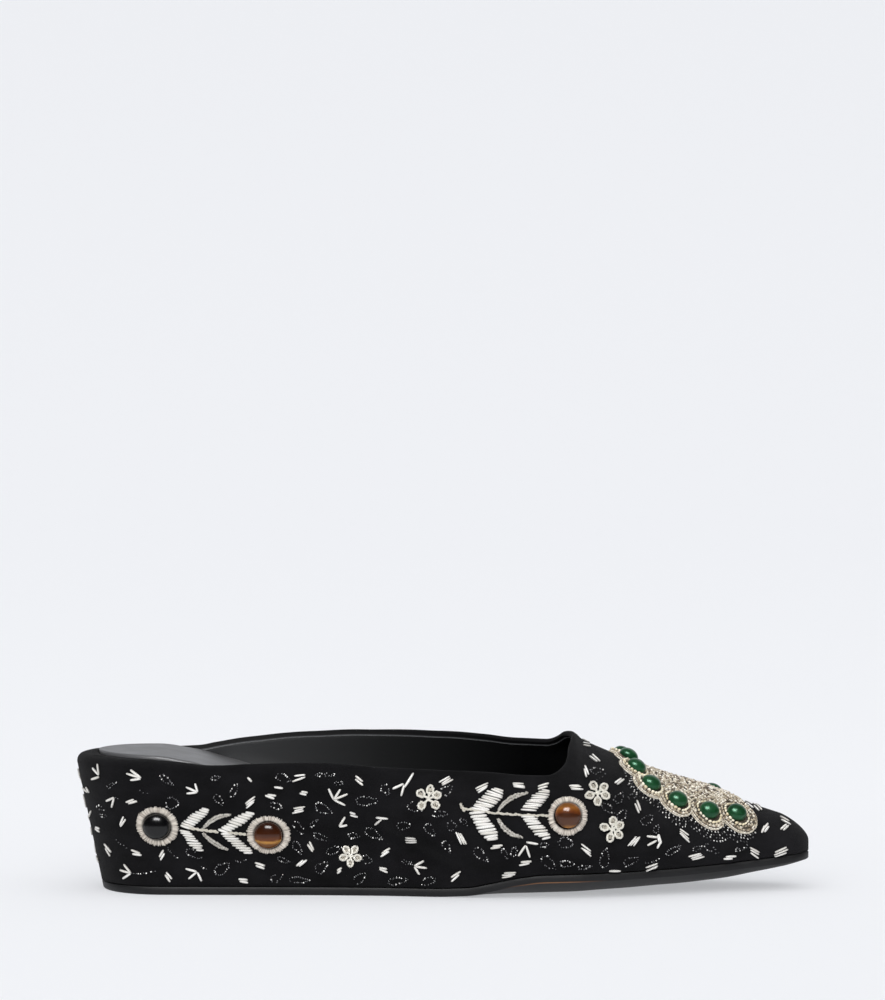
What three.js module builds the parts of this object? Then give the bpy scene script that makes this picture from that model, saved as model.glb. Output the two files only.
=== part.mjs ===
// Pointed wedge mule for the right foot, in millimetres: +X to the toe, +Z up, outer side towards -Y.
// The upper is one hollow wall, open at the collar and underneath, that runs down over the wedge
// to the outsole. One wall function gives the upper, the wedge inside it and the ornaments on it.
import * as THREE from "three";
import { mergeVertices } from "three/addons/utils/BufferGeometryUtils.js";

// Driving dimensions
const shoeLength = 261;
const rimHeight = 49.5;
const heelLean = 10;
const heelBack = 0.6;
const leanReach = 6;
const soleThickness = 2.9;
const soleBevel = 0.6;
const treadFlat = 0.5;
const treadPower = 3.5;
const soleOverhang = 0.2;
const wallThickness = 2;
const leastSeamRise = 0.8;
const leastBulgeRise = 1.2;
const leastArchRise = 0.5;
const insoleThickness = 2;
const gap = 0.3;
const tipTopHeight = 16.6;
const wedgeFrontX = 146;
const wedgeTopEase = 1;

// The throat curves from the collar's corner on each side to the ridge, a little nearer the toe there
const throat = { outer: 175.4, inner: 173.4, middle: 177 };
const cornerLength = { outer: 9, inner: 11 };
const cornerRise = { outer: 9, inner: 3.3 };

// The ridge of the vamp lies a little towards the big toe, less and less from this far before the tip
const ridgeTurn = { shift: 3, reach: 85 };

// How far each end of the plan outline is rounded, measured along the shoe
const endRound = { heel: 27, toe: 9, tipTop: 11 };

// Origin: middle of the length and of the width, on the floor
const origin = { x: 130.5, y: -0.2 };

// Outsole, a row for each section: half widths, and how high its underside lies at the edge and the middle
const soleRows = [
  { x: 0, outer: 25.4, inner: 25.2, edge: 0, middle: 0 },
  { x: 45, outer: 26.2, inner: 25.6, edge: 0, middle: 0 },
  { x: 75, outer: 26.8, inner: 24.8, edge: 0, middle: 0 },
  { x: 100, outer: 28.2, inner: 24.4, edge: 0, middle: 0 },
  { x: 122, outer: 31.2, inner: 26, edge: 0, middle: 0 },
  { x: 136, outer: 34, inner: 28.8, edge: 0.4, middle: 0 },
  { x: 147, outer: 36, inner: 31.6, edge: 2.1, middle: 0 },
  { x: 158, outer: 37.2, inner: 34, edge: 4.4, middle: 0 },
  { x: 170, outer: 37.2, inner: 35.6, edge: 5.4, middle: 0.2 },
  { x: 188, outer: 34, inner: 34.6, edge: 5.7, middle: 1.1 },
  { x: 206, outer: 28.2, inner: 29.8, edge: 6.2, middle: 2.3 },
  { x: 224, outer: 21.4, inner: 22.8, edge: 7, middle: 3.7 },
  { x: 242, outer: 14.8, inner: 15.6, edge: 8.4, middle: 6.5 },
  { x: 260, outer: 9.6, inner: 9.8, edge: 10.2, middle: 10.2 },
];

// Heights of the upper's wall: the seam is where the foot's form meets the wedge, the bulge is its widest
// level, and the ridge is the top line of the vamp, carried on up the instep where the collar cuts it away
const heightRows = [
  { x: 0, seam: 43.5, bulge: 53, ridge: 106 },
  { x: 45, seam: 40.6, bulge: 49, ridge: 104 },
  { x: 70, seam: 36.4, bulge: 44, ridge: 101 },
  { x: 98, seam: 27.6, bulge: 37, ridge: 93 },
  { x: 112, seam: 21.4, bulge: 31, ridge: 86.5 },
  { x: 124, seam: 14.8, bulge: 26, ridge: 80 },
  { x: 136, seam: 9.4, bulge: 22, ridge: 73 },
  { x: 149, seam: 7.6, bulge: 19.4, ridge: 66 },
  { x: 162, seam: 9.4, bulge: 18, ridge: 60.2 },
  { x: 172, seam: 9.7, bulge: 17.7, ridge: 56.7 },
  { x: 177.3, seam: 9.8, bulge: 17.5, ridge: 55.1 },
  { x: 180.2, seam: 9.9, bulge: 17.4, ridge: 52.5 },
  { x: 183.8, seam: 9.9, bulge: 17.3, ridge: 50.8 },
  { x: 191, seam: 10, bulge: 17, ridge: 47.7 },
  { x: 206, seam: 10.3, bulge: 16.8, ridge: 39.7 },
  { x: 224, seam: 11, bulge: 16.2, ridge: 34.4 },
  { x: 242, seam: 12.4, bulge: 16, ridge: 29.2 },
  { x: 260, seam: 14.3, bulge: 15.8, ridge: 23.4 },
];

// Half widths of the wall at the seam and at the bulge, on the outer and the inner side
const widthRows = [
  { x: 0, seamOuter: 28.2, seamInner: 28, bulgeOuter: 29.2, bulgeInner: 29 },
  { x: 45, seamOuter: 29.2, seamInner: 28.6, bulgeOuter: 30, bulgeInner: 29.4 },
  { x: 70, seamOuter: 29.7, seamInner: 27.8, bulgeOuter: 30.8, bulgeInner: 29.4 },
  { x: 98, seamOuter: 30.6, seamInner: 27.2, bulgeOuter: 32.8, bulgeInner: 30.2 },
  { x: 112, seamOuter: 31.6, seamInner: 27.8, bulgeOuter: 34.8, bulgeInner: 31.6 },
  { x: 124, seamOuter: 32.6, seamInner: 28.8, bulgeOuter: 36.6, bulgeInner: 33.4 },
  { x: 136, seamOuter: 34.4, seamInner: 30.4, bulgeOuter: 38.2, bulgeInner: 35.2 },
  { x: 149, seamOuter: 36.6, seamInner: 33, bulgeOuter: 39.4, bulgeInner: 37 },
  { x: 162, seamOuter: 37.8, seamInner: 35.4, bulgeOuter: 39.8, bulgeInner: 38.2 },
  { x: 175, seamOuter: 37.2, seamInner: 36.2, bulgeOuter: 38.8, bulgeInner: 38 },
  { x: 190, seamOuter: 34, seamInner: 34.6, bulgeOuter: 35.2, bulgeInner: 35.8 },
  { x: 206, seamOuter: 28.6, seamInner: 30.2, bulgeOuter: 29.6, bulgeInner: 31.2 },
  { x: 224, seamOuter: 21.8, seamInner: 23.2, bulgeOuter: 22.6, bulgeInner: 24 },
  { x: 242, seamOuter: 15.2, seamInner: 16, bulgeOuter: 15.8, bulgeInner: 16.6 },
  { x: 260, seamOuter: 10, seamInner: 10.2, bulgeOuter: 10.3, bulgeInner: 10.5 },
];

// Collar edge on the outer and inner side, from the heel's rim to the corners of the throat
const collarRows = [
  { x: 0, outer: 48.4, inner: 48.4 },
  { x: 18, outer: 48.2, inner: 48.4 },
  { x: 30, outer: 47.6, inner: 48 },
  { x: 40, outer: 46.8, inner: 48.2 },
  { x: 48, outer: 46.2, inner: 49.3 },
  { x: 62, outer: 46.8, inner: 51.4 },
  { x: 86, outer: 47.4, inner: 53.5 },
  { x: 106, outer: 46.3, inner: 54.1 },
  { x: 128, outer: 45.4, inner: 53.7 },
  { x: 146, outer: 44.6, inner: 52.6 },
  { x: 158, outer: 43.5, inner: 51.4 },
  { x: 175, outer: 42.9, inner: 51.2 },
];

// The heel's rim is turned in over the wedge: how wide the lip is and how softly its edge rounds
const rimRows = [
  { x: 0, lip: 8.3, round: 3.6 },
  { x: 14, lip: 5.6, round: 3.2 },
  { x: 34, lip: 3.8, round: 2.5 },
  { x: 48, lip: 2.4, round: 1.3 },
  { x: 62, lip: 2, round: 0.9 },
  { x: 175, lip: 2, round: 0.9 },
];
const lipDepth = 5.5;
const lipTurn = 3.3;

// Top of the insole along the shoe's middle, from the heel seat down the wedge to the ball
const footRows = [
  { x: 0, top: 49.65 },
  { x: 22, top: 49.3 },
  { x: 36, top: 47.8 },
  { x: 50, top: 44.4 },
  { x: 66, top: 39.6 },
  { x: 98, top: 27.8 },
  { x: 122, top: 17.4 },
  { x: 138, top: 10.6 },
  { x: 150, top: 6.9 },
  { x: 162, top: 5.6 },
  { x: 175, top: 5.6 },
  { x: 188, top: 6.4 },
  { x: 206, top: 8.1 },
  { x: 224, top: 10.4 },
  { x: 242, top: 13.3 },
  { x: 260, top: 15.6 },
];

// Scalloped beadwork plaque on the vamp: lobes around its middle, angles measured from the throat
const plaque = { x: 214.6, seat: 0.5, thickness: 1.4, rimThickness: 0.9, bodyRadius: 16.5 };
const plaqueSteps = { rings: 6, spokes: 80 };
const lobeRows = [
  { side: "outer", angle: 10.2, distance: 19.3, radius: 3.8 },
  { side: "outer", angle: 34.2, distance: 19.9, radius: 4.9 },
  { side: "outer", angle: 57.6, distance: 21.4, radius: 5.2 },
  { side: "outer", angle: 84, distance: 20.8, radius: 5.6 },
  { side: "outer", angle: 114, distance: 21.8, radius: 5.9 },
  { side: "outer", angle: 140, distance: 24.3, radius: 4.9 },
  { side: "inner", angle: 31, distance: 24, radius: 4.3 },
  { side: "inner", angle: 53, distance: 23.3, radius: 5.2 },
  { side: "inner", angle: 75.4, distance: 21.5, radius: 5.5 },
  { side: "inner", angle: 101.7, distance: 19.3, radius: 5.6 },
  { side: "inner", angle: 132.1, distance: 16.9, radius: 5.4 },
];
// Lobes of the toe end, which hold no stone
const toeLobeRows = [
  { side: "outer", angle: 143.4, distance: 24.3, radius: 7 },
  { side: "outer", angle: 150.1, distance: 19, radius: 6.5 },
  { side: "inner", angle: 142.9, distance: 20.6, radius: 6.9 },
  { side: "outer", angle: 180, distance: 12.6, radius: 5 },
];
const greenStone = { radius: 3.55, height: 3.1, turns: 12, rings: 3 };

// Round stones on the sides, each in a stitched ring: place along the shoe and height on the wall
const sideStoneRows = [
  { name: "heel_onyx", x: 27.9, height: 24.6, ring: 7.8, colour: 0x0b0b0c },
  { name: "wedge_amber", x: 68.5, height: 21.7, ring: 7.8, colour: 0x4a2008 },
  { name: "vamp_amber", x: 174.15, height: 29.2, ring: 7.1, colour: 0x5a2a0c },
];
const sideStone = { radius: 4.9, height: 4.4, turns: 16, rings: 4 };
const stoneRing = { inner: 5.6, thickness: 1, turns: 20 };

// Steps of the search for a place on the wall
const search = { halvings: 40, riseStep: 0.01, slopeStep: 0.5, highestRise: 2.98 };

// Stations on the sole that stand below the collar's corner, the throat's middle and the toe end
const below = { heel: 26, corner: 179, throat: 198, toe: 243 };

// Number of steps of each grid
const upperRowsBelowSeam = 3;
const upperRowsAboveSeam = 8;
const soleAcross = 8;
const wedgeSideRows = 4;
const insoleAcross = 6;

const sides = { outer: -1, inner: 1 };
const clamp01 = (value) => Math.min(Math.max(value, 0), 1);
const mix = (a, b, share) => a + (b - a) * share;
const smooth = (share) => share * share * (3 - 2 * share);

// One column of a table as a smooth function of x that never overshoots its rows
function column(rows, name) {
  const last = rows.length - 1;
  const slopes = [];
  for (let i = 0; i < last; i++) {
    slopes.push((rows[i + 1][name] - rows[i][name]) / (rows[i + 1].x - rows[i].x));
  }
  const tangents = rows.map((row, i) => {
    const before = slopes[Math.max(i - 1, 0)];
    const after = slopes[Math.min(i, last - 1)];
    return before * after <= 0 ? 0 : (2 * before * after) / (before + after);
  });
  return (x) => {
    let i = 0;
    while (i < last - 1 && x > rows[i + 1].x) i++;
    const width = rows[i + 1].x - rows[i].x;
    const t = clamp01((x - rows[i].x) / width);
    const start = rows[i][name] + t * width * tangents[i];
    const end = rows[i + 1][name] - (1 - t) * width * tangents[i + 1];
    return mix(start, end, smooth(t));
  };
}

const columns = (rows, ...names) => Object.fromEntries(names.map((name) => [name, column(rows, name)]));
const sole = columns(soleRows, "outer", "inner", "edge", "middle");
const levels = columns(heightRows, "seam", "bulge", "ridge");
const widths = columns(widthRows, "seamOuter", "seamInner", "bulgeOuter", "bulgeInner");
const collar = columns(collarRows, "outer", "inner");
const rim = columns(rimRows, "lip", "round");
const foot = columns(footRows, "top");

// Elliptic rounding of an outline's end, from 0 at the end to 1 once it is a reach away
function endShare(distance, reach) {
  const rest = 1 - clamp01(distance / reach);
  return Math.sqrt(1 - rest * rest);
}

function planRound(x) {
  return endShare(x, endRound.heel) * endShare(shoeLength - x, endRound.toe);
}

// Where a station lies along the shoe at a height: the heel's back leans, and an inset wall starts later
function alongShoe(x, z, inset) {
  const share = x / shoeLength;
  const lean = heelLean * (1 - z / rimHeight) - heelBack;
  return x + inset * (1 - 2 * share) + lean * (1 - share) ** leanReach;
}

function soleTopAtEdge(x) {
  return sole.edge(x) + soleThickness;
}

function ridgeHeight(x) {
  return mix(tipTopHeight, levels.ridge(x), endShare(shoeLength - x, endRound.tipTop));
}

function ridgeShift(x) {
  return ridgeTurn.shift * clamp01((shoeLength - x) / ridgeTurn.reach);
}

// Height and half width of the wall at one section. rise is 0 at the sole, 1 at the seam,
// 2 at the bulge and 3 at the ridge
function wallProfile(side, x, rise, inset) {
  const bottom = soleTopAtEdge(x) + gap;
  const seam = Math.max(levels.seam(x), bottom + leastSeamRise);
  const bulge = Math.max(levels.bulge(x), seam + leastBulgeRise);
  const name = side < 0 ? "Outer" : "Inner";
  const soleWidth = sole[name.toLowerCase()](x) - soleOverhang;
  const seamWidth = widths["seam" + name](x);
  const bulgeWidth = widths["bulge" + name](x);
  if (rise <= 1) {
    return { z: mix(bottom, seam, rise), width: mix(soleWidth, seamWidth, rise) - inset };
  }
  if (rise <= 2) {
    const turn = Math.sin(((rise - 1) * Math.PI) / 2);
    return { z: mix(seam, bulge, rise - 1), width: mix(seamWidth, bulgeWidth, turn) - inset };
  }
  const angle = ((rise - 2) * Math.PI) / 2;
  const arch = Math.max(ridgeHeight(x) - inset - bulge, leastArchRise);
  return { z: bulge + arch * Math.sin(angle), width: (bulgeWidth - inset) * Math.cos(angle) };
}

// A point of the wall. A negative inset gives a form that stands outside the wall
function wallPoint(side, x, rise, inset) {
  const { z, width } = wallProfile(side, x, rise, inset);
  const archShare = Math.sin((clamp01(rise - 2) * Math.PI) / 2);
  const y = side * width * planRound(x) + ridgeShift(x) * archShare ** 2;
  return new THREE.Vector3(alongShoe(x, z, inset), y, z);
}

// The rise at which the wall reaches a height
function riseAt(side, x, z) {
  let low = 0;
  let high = 3;
  for (let i = 0; i < search.halvings; i++) {
    const middle = (low + high) / 2;
    if (wallProfile(side, x, middle, 0).z < z) low = middle;
    else high = middle;
  }
  return (low + high) / 2;
}

// The rise that lies a distance up the wall from a given rise, measured along the section
function riseAlong(side, x, start, distance) {
  const step = Math.sign(distance) * search.riseStep;
  let rise = start;
  let left = Math.abs(distance);
  let here = wallPoint(side, x, rise, 0);
  while (left > 0 && rise + step >= 0 && rise + step <= 3) {
    const next = wallPoint(side, x, rise + step, 0);
    const length = next.distanceTo(here);
    rise += step * Math.min(1, left / Math.max(length, 1e-6));
    left -= length;
    here = next;
  }
  return rise;
}

function wallNormal(side, x, rise) {
  const ahead = wallPoint(side, x + search.slopeStep, rise, 0);
  const along = ahead.sub(wallPoint(side, x - search.slopeStep, rise, 0));
  const low = Math.max(rise - search.riseStep, 0);
  const high = Math.min(rise + search.riseStep, 3);
  const up = wallPoint(side, x, high, 0).sub(wallPoint(side, x, low, 0));
  return side < 0 ? along.cross(up).normalize() : up.cross(along).normalize();
}

// Triangles of a list of point quads, with those that have no area left out
class Skin {
  constructor() {
    this.positions = [];
  }

  triangle(a, b, c) {
    const area = new THREE.Vector3().subVectors(b, a).cross(new THREE.Vector3().subVectors(c, a)).length();
    if (area > 1e-5) this.positions.push(...a.toArray(), ...b.toArray(), ...c.toArray());
  }

  quad(a, b, c, d) {
    this.triangle(a, b, c);
    this.triangle(a, c, d);
  }

  // A sheet of points by rows; flipped turns its faces over
  sheet(rows, flipped = false) {
    for (let i = 0; i + 1 < rows.length; i++) {
      for (let j = 0; j + 1 < rows[i].length; j++) {
        const corners = [rows[i][j], rows[i + 1][j], rows[i + 1][j + 1], rows[i][j + 1]];
        if (flipped) corners.reverse();
        this.quad(...corners);
      }
    }
  }

  geometry() {
    const made = new THREE.BufferGeometry();
    made.setAttribute("position", new THREE.Float32BufferAttribute(this.positions, 3));
    const merged = mergeVertices(made, 1e-3);
    merged.computeVertexNormals();
    return merged;
  }
}

// A closed solid through loops of points, each loop a section and the end loops drawn to a line
function loftGeometry(loops) {
  const skin = new Skin();
  skin.sheet(loops.map((loop) => [...loop, loop[0]]), true);
  return skin.geometry();
}

// Stations along the shoe, closer together at an eased end
function stations(spans) {
  const made = [];
  spans.forEach(({ steps, from, to, ease }, span) => {
    for (let i = span ? 1 : 0; i <= steps; i++) {
      const share = i / steps;
      const eased = { start: share ** 2, end: 1 - (1 - share) ** 2, none: share }[ease];
      made.push({ x: mix(from, to, eased), span, share });
    }
  });
  return made;
}

function sideName(side) {
  return side < 0 ? "outer" : "inner";
}

// Stretches of the upper: heel, collar, corner, throat, vamp and toe
function upperSpans(side) {
  const cornerX = throat[sideName(side)] - cornerLength[sideName(side)];
  return [
    { steps: 9, from: 0, to: below.heel, ease: "start" },
    { steps: 13, from: below.heel, to: cornerX, ease: "none" },
    { steps: 4, from: cornerX, to: below.corner, ease: "none" },
    { steps: 4, from: below.corner, to: below.throat, ease: "none" },
    { steps: 6, from: below.throat, to: below.toe, ease: "none" },
    { steps: 7, from: below.toe, to: shoeLength, ease: "end" },
  ];
}

// Where the wall ends above a station: on the collar, round its corner, up the throat or on the ridge
function topOfWall(side, station) {
  const name = sideName(side);
  const throatX = throat[name];
  const cornerX = throatX - cornerLength[name];
  const cornerBase = collar[name](cornerX);
  if (station.span <= 1) {
    return { x: station.x, rise: riseAt(side, station.x, collar[name](station.x)) };
  }
  if (station.span === 2) {
    const angle = (station.share * Math.PI) / 2;
    const x = cornerX + cornerLength[name] * Math.sin(angle);
    return { x, rise: riseAt(side, x, cornerBase + cornerRise[name] * (1 - Math.cos(angle))) };
  }
  if (station.span === 3) {
    const start = riseAt(side, throatX, cornerBase + cornerRise[name]);
    const forward = 1 - (1 - station.share) ** 2;
    return { x: mix(throatX, throat.middle, forward), rise: mix(start, 3, station.share) };
  }
  return { x: station.span === 4 ? mix(throat.middle, below.toe, station.share) : station.x, rise: 3 };
}

// Inset of the wall's inner face: its thickness, and more where the heel's rim is turned in as a lip
function innerInset(side, x, z) {
  const top = collar[sideName(side)](x);
  const lipShare = x < throat.middle ? smooth(clamp01((z - top + lipDepth) / lipTurn)) : 0;
  return mix(wallThickness, rim.lip(x), lipShare);
}

// Inset that rounds the outer edge of the rim
function rimInset(x, belowTop) {
  const radius = rim.round(x);
  const rest = clamp01(1 - belowTop / radius);
  return radius * (1 - Math.sqrt(1 - rest * rest));
}

function upperStation(side, station) {
  const top = topOfWall(side, station);
  const topZ = wallProfile(side, top.x, top.rise, 0).z;
  const rows = upperRowsBelowSeam + upperRowsAboveSeam;
  const outside = [];
  const inside = [];
  for (let row = 0; row <= rows; row++) {
    const aboveShare = (row - upperRowsBelowSeam) / upperRowsAboveSeam;
    const rise = row <= upperRowsBelowSeam ? row / upperRowsBelowSeam : mix(1, top.rise, aboveShare);
    const x = mix(station.x, top.x, smooth(clamp01(aboveShare)));
    const z = wallProfile(side, x, rise, 0).z;
    const rounding = station.span <= 1 ? rimInset(x, topZ - z) : 0;
    outside.push(wallPoint(side, x, rise, rounding));
    inside.push(wallPoint(side, x, rise, innerInset(side, x, z)));
  }
  return { outside, inside, open: station.span <= 3 };
}

function upperGeometry() {
  const skin = new Skin();
  for (const side of [sides.outer, sides.inner]) {
    const made = stations(upperSpans(side)).map((station) => upperStation(side, station));
    const flipped = side > 0;
    skin.sheet(made.map((one) => one.outside), flipped);
    skin.sheet(made.map((one) => one.inside), !flipped);
    skin.sheet(made.map((one) => [one.inside[0], one.outside[0]]), flipped);
    const rimmed = made.filter((one) => one.open);
    skin.sheet(rimmed.map((one) => [one.outside.at(-1), one.inside.at(-1)]), flipped);
  }
  return skin.geometry();
}

// Underside of the outsole: flat under the wedge, rounded across the forefoot, level where it treads
function soleBottom(x, across) {
  const drop = (sole.edge(x) - sole.middle(x) + treadFlat) * (1 - Math.abs(across) ** treadPower) * planRound(x);
  return Math.max(0, sole.edge(x) - drop);
}

function solePoint(x, across, above, narrower) {
  const half = (across < 0 ? sole.outer(x) : sole.inner(x)) - narrower;
  const z = soleBottom(x, across) + above;
  return new THREE.Vector3(alongShoe(x, z, narrower), across * half * planRound(x), z);
}

function acrossSteps(count) {
  return Array.from({ length: count + 1 }, (_, i) => (2 * i) / count - 1);
}

function outsoleGeometry() {
  const spans = [
    { steps: 8, from: 0, to: 30, ease: "start" },
    { steps: 4, from: 30, to: 112, ease: "none" },
    { steps: 14, from: 112, to: 238, ease: "none" },
    { steps: 7, from: 238, to: shoeLength, ease: "end" },
  ];
  const across = acrossSteps(soleAcross);
  return loftGeometry(
    stations(spans).map(({ x }) => [
      ...across.map((share) => solePoint(x, share, 0, soleBevel)),
      solePoint(x, 1, soleBevel, 0),
      ...across.toReversed().map((share) => solePoint(x, share, soleThickness, 0)),
      solePoint(x, -1, soleBevel, 0),
    ]),
  );
}

function insoleTop(x, across) {
  const dish = Math.max(0, sole.edge(x) - sole.middle(x));
  return foot.top(x) + dish * across * across;
}

// The insole fits inside the rim at the heel and inside the wall from there to the toe
function insoleHalfWidth(side, x) {
  const z = insoleTop(x, 1);
  const inset = x < throat.middle ? Math.max(rim.lip(x), wallThickness) : wallThickness;
  return wallProfile(side, x, riseAt(side, x, z - insoleThickness), 0).width - inset - gap;
}

function insolePoint(x, across, below) {
  const side = across < 0 ? sides.outer : sides.inner;
  const z = insoleTop(x, across) - below;
  const inset = (x < throat.middle ? rim.lip(x) : wallThickness) + gap;
  const y = across * insoleHalfWidth(side, x) * planRound(x);
  return new THREE.Vector3(alongShoe(x, z, inset), y, z);
}

function insoleGeometry() {
  const spans = [
    { steps: 8, from: 0, to: 28, ease: "start" },
    { steps: 18, from: 28, to: 238, ease: "none" },
    { steps: 6, from: 238, to: shoeLength, ease: "end" },
  ];
  const across = acrossSteps(insoleAcross);
  return loftGeometry(
    stations(spans).map(({ x }) => [
      ...across.map((share) => insolePoint(x, share, insoleThickness)),
      ...across.toReversed().map((share) => insolePoint(x, share, 0)),
    ]),
  );
}

// The wedge fills the wall from the outsole up to the insole and thins out towards the ball
function wedgeGeometry() {
  const spans = [
    { steps: 8, from: 0, to: 28, ease: "start" },
    { steps: 10, from: 28, to: wedgeFrontX, ease: "none" },
  ];
  const bottom = (x) => soleTopAtEdge(x) + gap;
  const top = (x) => Math.max(bottom(x), insoleTop(x, 0) - insoleThickness - gap);
  const edge = (side, x, share) => {
    const z = mix(bottom(x), x >= wedgeFrontX ? bottom(x) : top(x), share);
    const inset = innerInset(side, x, z) + mix(gap, wedgeTopEase, (z - bottom(x)) / rimHeight);
    const { width } = wallProfile(side, x, riseAt(side, x, z), inset);
    return new THREE.Vector3(alongShoe(x, z, inset), side * width * planRound(x), z);
  };
  const shares = Array.from({ length: wedgeSideRows + 1 }, (_, i) => i / wedgeSideRows);
  return loftGeometry(
    stations(spans).map(({ x }) => [
      ...shares.toReversed().map((share) => edge(sides.outer, x, share)),
      ...shares.map((share) => edge(sides.inner, x, share)),
    ]),
  );
}

function lobeAngle({ side, angle }) {
  return THREE.MathUtils.degToRad(angle) * sides[side];
}

// How far the plaque reaches in a direction: the furthest lobe that the direction meets
function plaqueReach(angle) {
  return [...lobeRows, ...toeLobeRows].reduce((reach, lobe) => {
    const offset = angle - lobeAngle(lobe);
    const sideways = lobe.distance * Math.sin(offset);
    const meets = Math.cos(offset) > 0 && Math.abs(sideways) < lobe.radius;
    const end = lobe.distance * Math.cos(offset) + Math.sqrt(Math.max(0, lobe.radius ** 2 - sideways ** 2));
    return meets ? Math.max(reach, end) : reach;
  }, plaque.bodyRadius);
}

// A place on the vamp by its distance from the plaque's middle and its angle from the throat
function vampSpot(angle, distance) {
  const x = plaque.x - distance * Math.cos(angle);
  const across = distance * Math.sin(angle);
  const side = across < 0 ? sides.outer : sides.inner;
  return { side, x, rise: across === 0 ? 3 : riseAlong(side, x, 3, -Math.abs(across)) };
}

function plaqueGeometry() {
  const turns = plaqueSteps.spokes;
  const spokes = Array.from({ length: turns + 1 }, (_, i) => ((i % turns) / turns) * 2 * Math.PI);
  const shares = Array.from({ length: plaqueSteps.rings + 1 }, (_, i) => i / plaqueSteps.rings);
  const layer = (raise) =>
    spokes.map((angle) =>
      shares.map((share) => {
        const spot = vampSpot(angle, share * plaqueReach(angle > Math.PI ? angle - 2 * Math.PI : angle));
        return wallPoint(spot.side, spot.x, spot.rise, -plaque.seat - raise(share));
      }),
    );
  const under = layer(() => 0);
  const over = layer((share) => mix(plaque.thickness, plaque.rimThickness, smooth(share)));
  const skin = new Skin();
  skin.sheet(over);
  skin.sheet(under, true);
  skin.sheet(over.map((spoke, i) => [spoke.at(-1), under[i].at(-1)]));
  return skin.geometry();
}

// A ring of embroidery that follows the wall around a place on it
function ringGeometry(side, x, rise, outerRadius) {
  const corners = [
    { radius: stoneRing.inner, raise: 0 },
    { radius: outerRadius, raise: 0 },
    { radius: outerRadius, raise: stoneRing.thickness },
    { radius: stoneRing.inner, raise: stoneRing.thickness },
  ];
  const height = wallProfile(side, x, rise, 0).z;
  const loops = Array.from({ length: stoneRing.turns + 1 }, (_, i) => {
    const angle = (((i % stoneRing.turns) * 2 * Math.PI) / stoneRing.turns) * side;
    return corners.map(({ radius, raise }) => {
      const spotX = x + radius * Math.cos(angle);
      const level = riseAt(side, spotX, height);
      const spotRise = riseAlong(side, spotX, level, radius * Math.sin(angle));
      return wallPoint(side, spotX, spotRise, -gap - raise);
    });
  });
  return loftGeometry(loops);
}

// A polished domed stone with a flat back, its axis along +Y
function domeGeometry({ radius, height, turns, rings }) {
  const profile = [new THREE.Vector2(0, 0)];
  for (let i = 0; i <= rings; i++) {
    const angle = (i / rings) * (Math.PI / 2);
    const atTop = i === rings;
    profile.push(new THREE.Vector2(atTop ? 0 : radius * Math.cos(angle), height * Math.sin(angle)));
  }
  return new THREE.LatheGeometry(profile, turns);
}

function finish(colour, roughness, metalness = 0) {
  return new THREE.MeshStandardMaterial({ color: colour, roughness, metalness });
}

const finishes = {
  suede: finish(0x131315, 0.95),
  soleEdge: finish(0x2c2c2e, 0.6),
  wedgeCore: finish(0x6b5a45, 0.9),
  insoleLeather: finish(0x2a2a2c, 0.55),
  beadwork: finish(0xb7a98c, 0.55, 0.2),
  stitchedRing: finish(0xd9d2c0, 0.7),
  greenStone: finish(0x0d4a2c, 0.12),
};

const mule = new THREE.Group();
const last = new THREE.Group();
last.position.set(-origin.x, -origin.y, 0);
mule.add(last);

function addPiece(name, geometry, material) {
  const mesh = new THREE.Mesh(geometry, material);
  mesh.name = name;
  last.add(mesh);
  return mesh;
}

// Sets a stone down on a form that stands outside the wall, square to the wall there
function seatStone(mesh, spot, raise) {
  const normal = wallNormal(spot.side, spot.x, Math.min(spot.rise, search.highestRise));
  mesh.position.copy(wallPoint(spot.side, spot.x, spot.rise, -raise));
  mesh.quaternion.setFromUnitVectors(new THREE.Vector3(0, 1, 0), normal);
}

addPiece("outsole", outsoleGeometry(), finishes.soleEdge);
addPiece("wedge", wedgeGeometry(), finishes.wedgeCore);
addPiece("insole", insoleGeometry(), finishes.insoleLeather);
addPiece("upper", upperGeometry(), finishes.suede);
addPiece("plaque", plaqueGeometry(), finishes.beadwork);

lobeRows.forEach((lobe, i) => {
  const spot = vampSpot(lobeAngle(lobe), lobe.distance);
  const mesh = addPiece(`green_stone_${i + 1}`, domeGeometry(greenStone), finishes.greenStone);
  seatStone(mesh, spot, plaque.seat + plaque.thickness + gap);
});

for (const [onSide, side] of Object.entries(sides)) {
  for (const { name, x, height, ring, colour } of sideStoneRows) {
    const rise = riseAt(side, x, height);
    addPiece(`${name}_ring_${onSide}`, ringGeometry(side, x, rise, ring), finishes.stitchedRing);
    const stone = addPiece(`${name}_${onSide}`, domeGeometry(sideStone), finish(colour, 0.12));
    seatStone(stone, { side, x, rise }, gap + gap);
  }
}

export default mule;
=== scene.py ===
import math
import bmesh
import bpy
import numpy as np
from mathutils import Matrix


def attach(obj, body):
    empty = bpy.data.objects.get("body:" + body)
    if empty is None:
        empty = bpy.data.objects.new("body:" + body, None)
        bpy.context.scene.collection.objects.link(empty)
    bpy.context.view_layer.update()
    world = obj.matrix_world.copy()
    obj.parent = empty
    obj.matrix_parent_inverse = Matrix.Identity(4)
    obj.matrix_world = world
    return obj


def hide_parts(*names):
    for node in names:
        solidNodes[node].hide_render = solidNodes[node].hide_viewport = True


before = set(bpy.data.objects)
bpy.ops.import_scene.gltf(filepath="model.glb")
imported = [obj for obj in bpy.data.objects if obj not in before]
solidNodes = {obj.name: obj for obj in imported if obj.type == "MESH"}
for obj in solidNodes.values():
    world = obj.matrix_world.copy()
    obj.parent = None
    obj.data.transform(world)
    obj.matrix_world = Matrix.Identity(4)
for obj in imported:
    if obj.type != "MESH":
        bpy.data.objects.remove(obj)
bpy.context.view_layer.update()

print("frame loaded:", len(solidNodes), "nodes")

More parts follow.
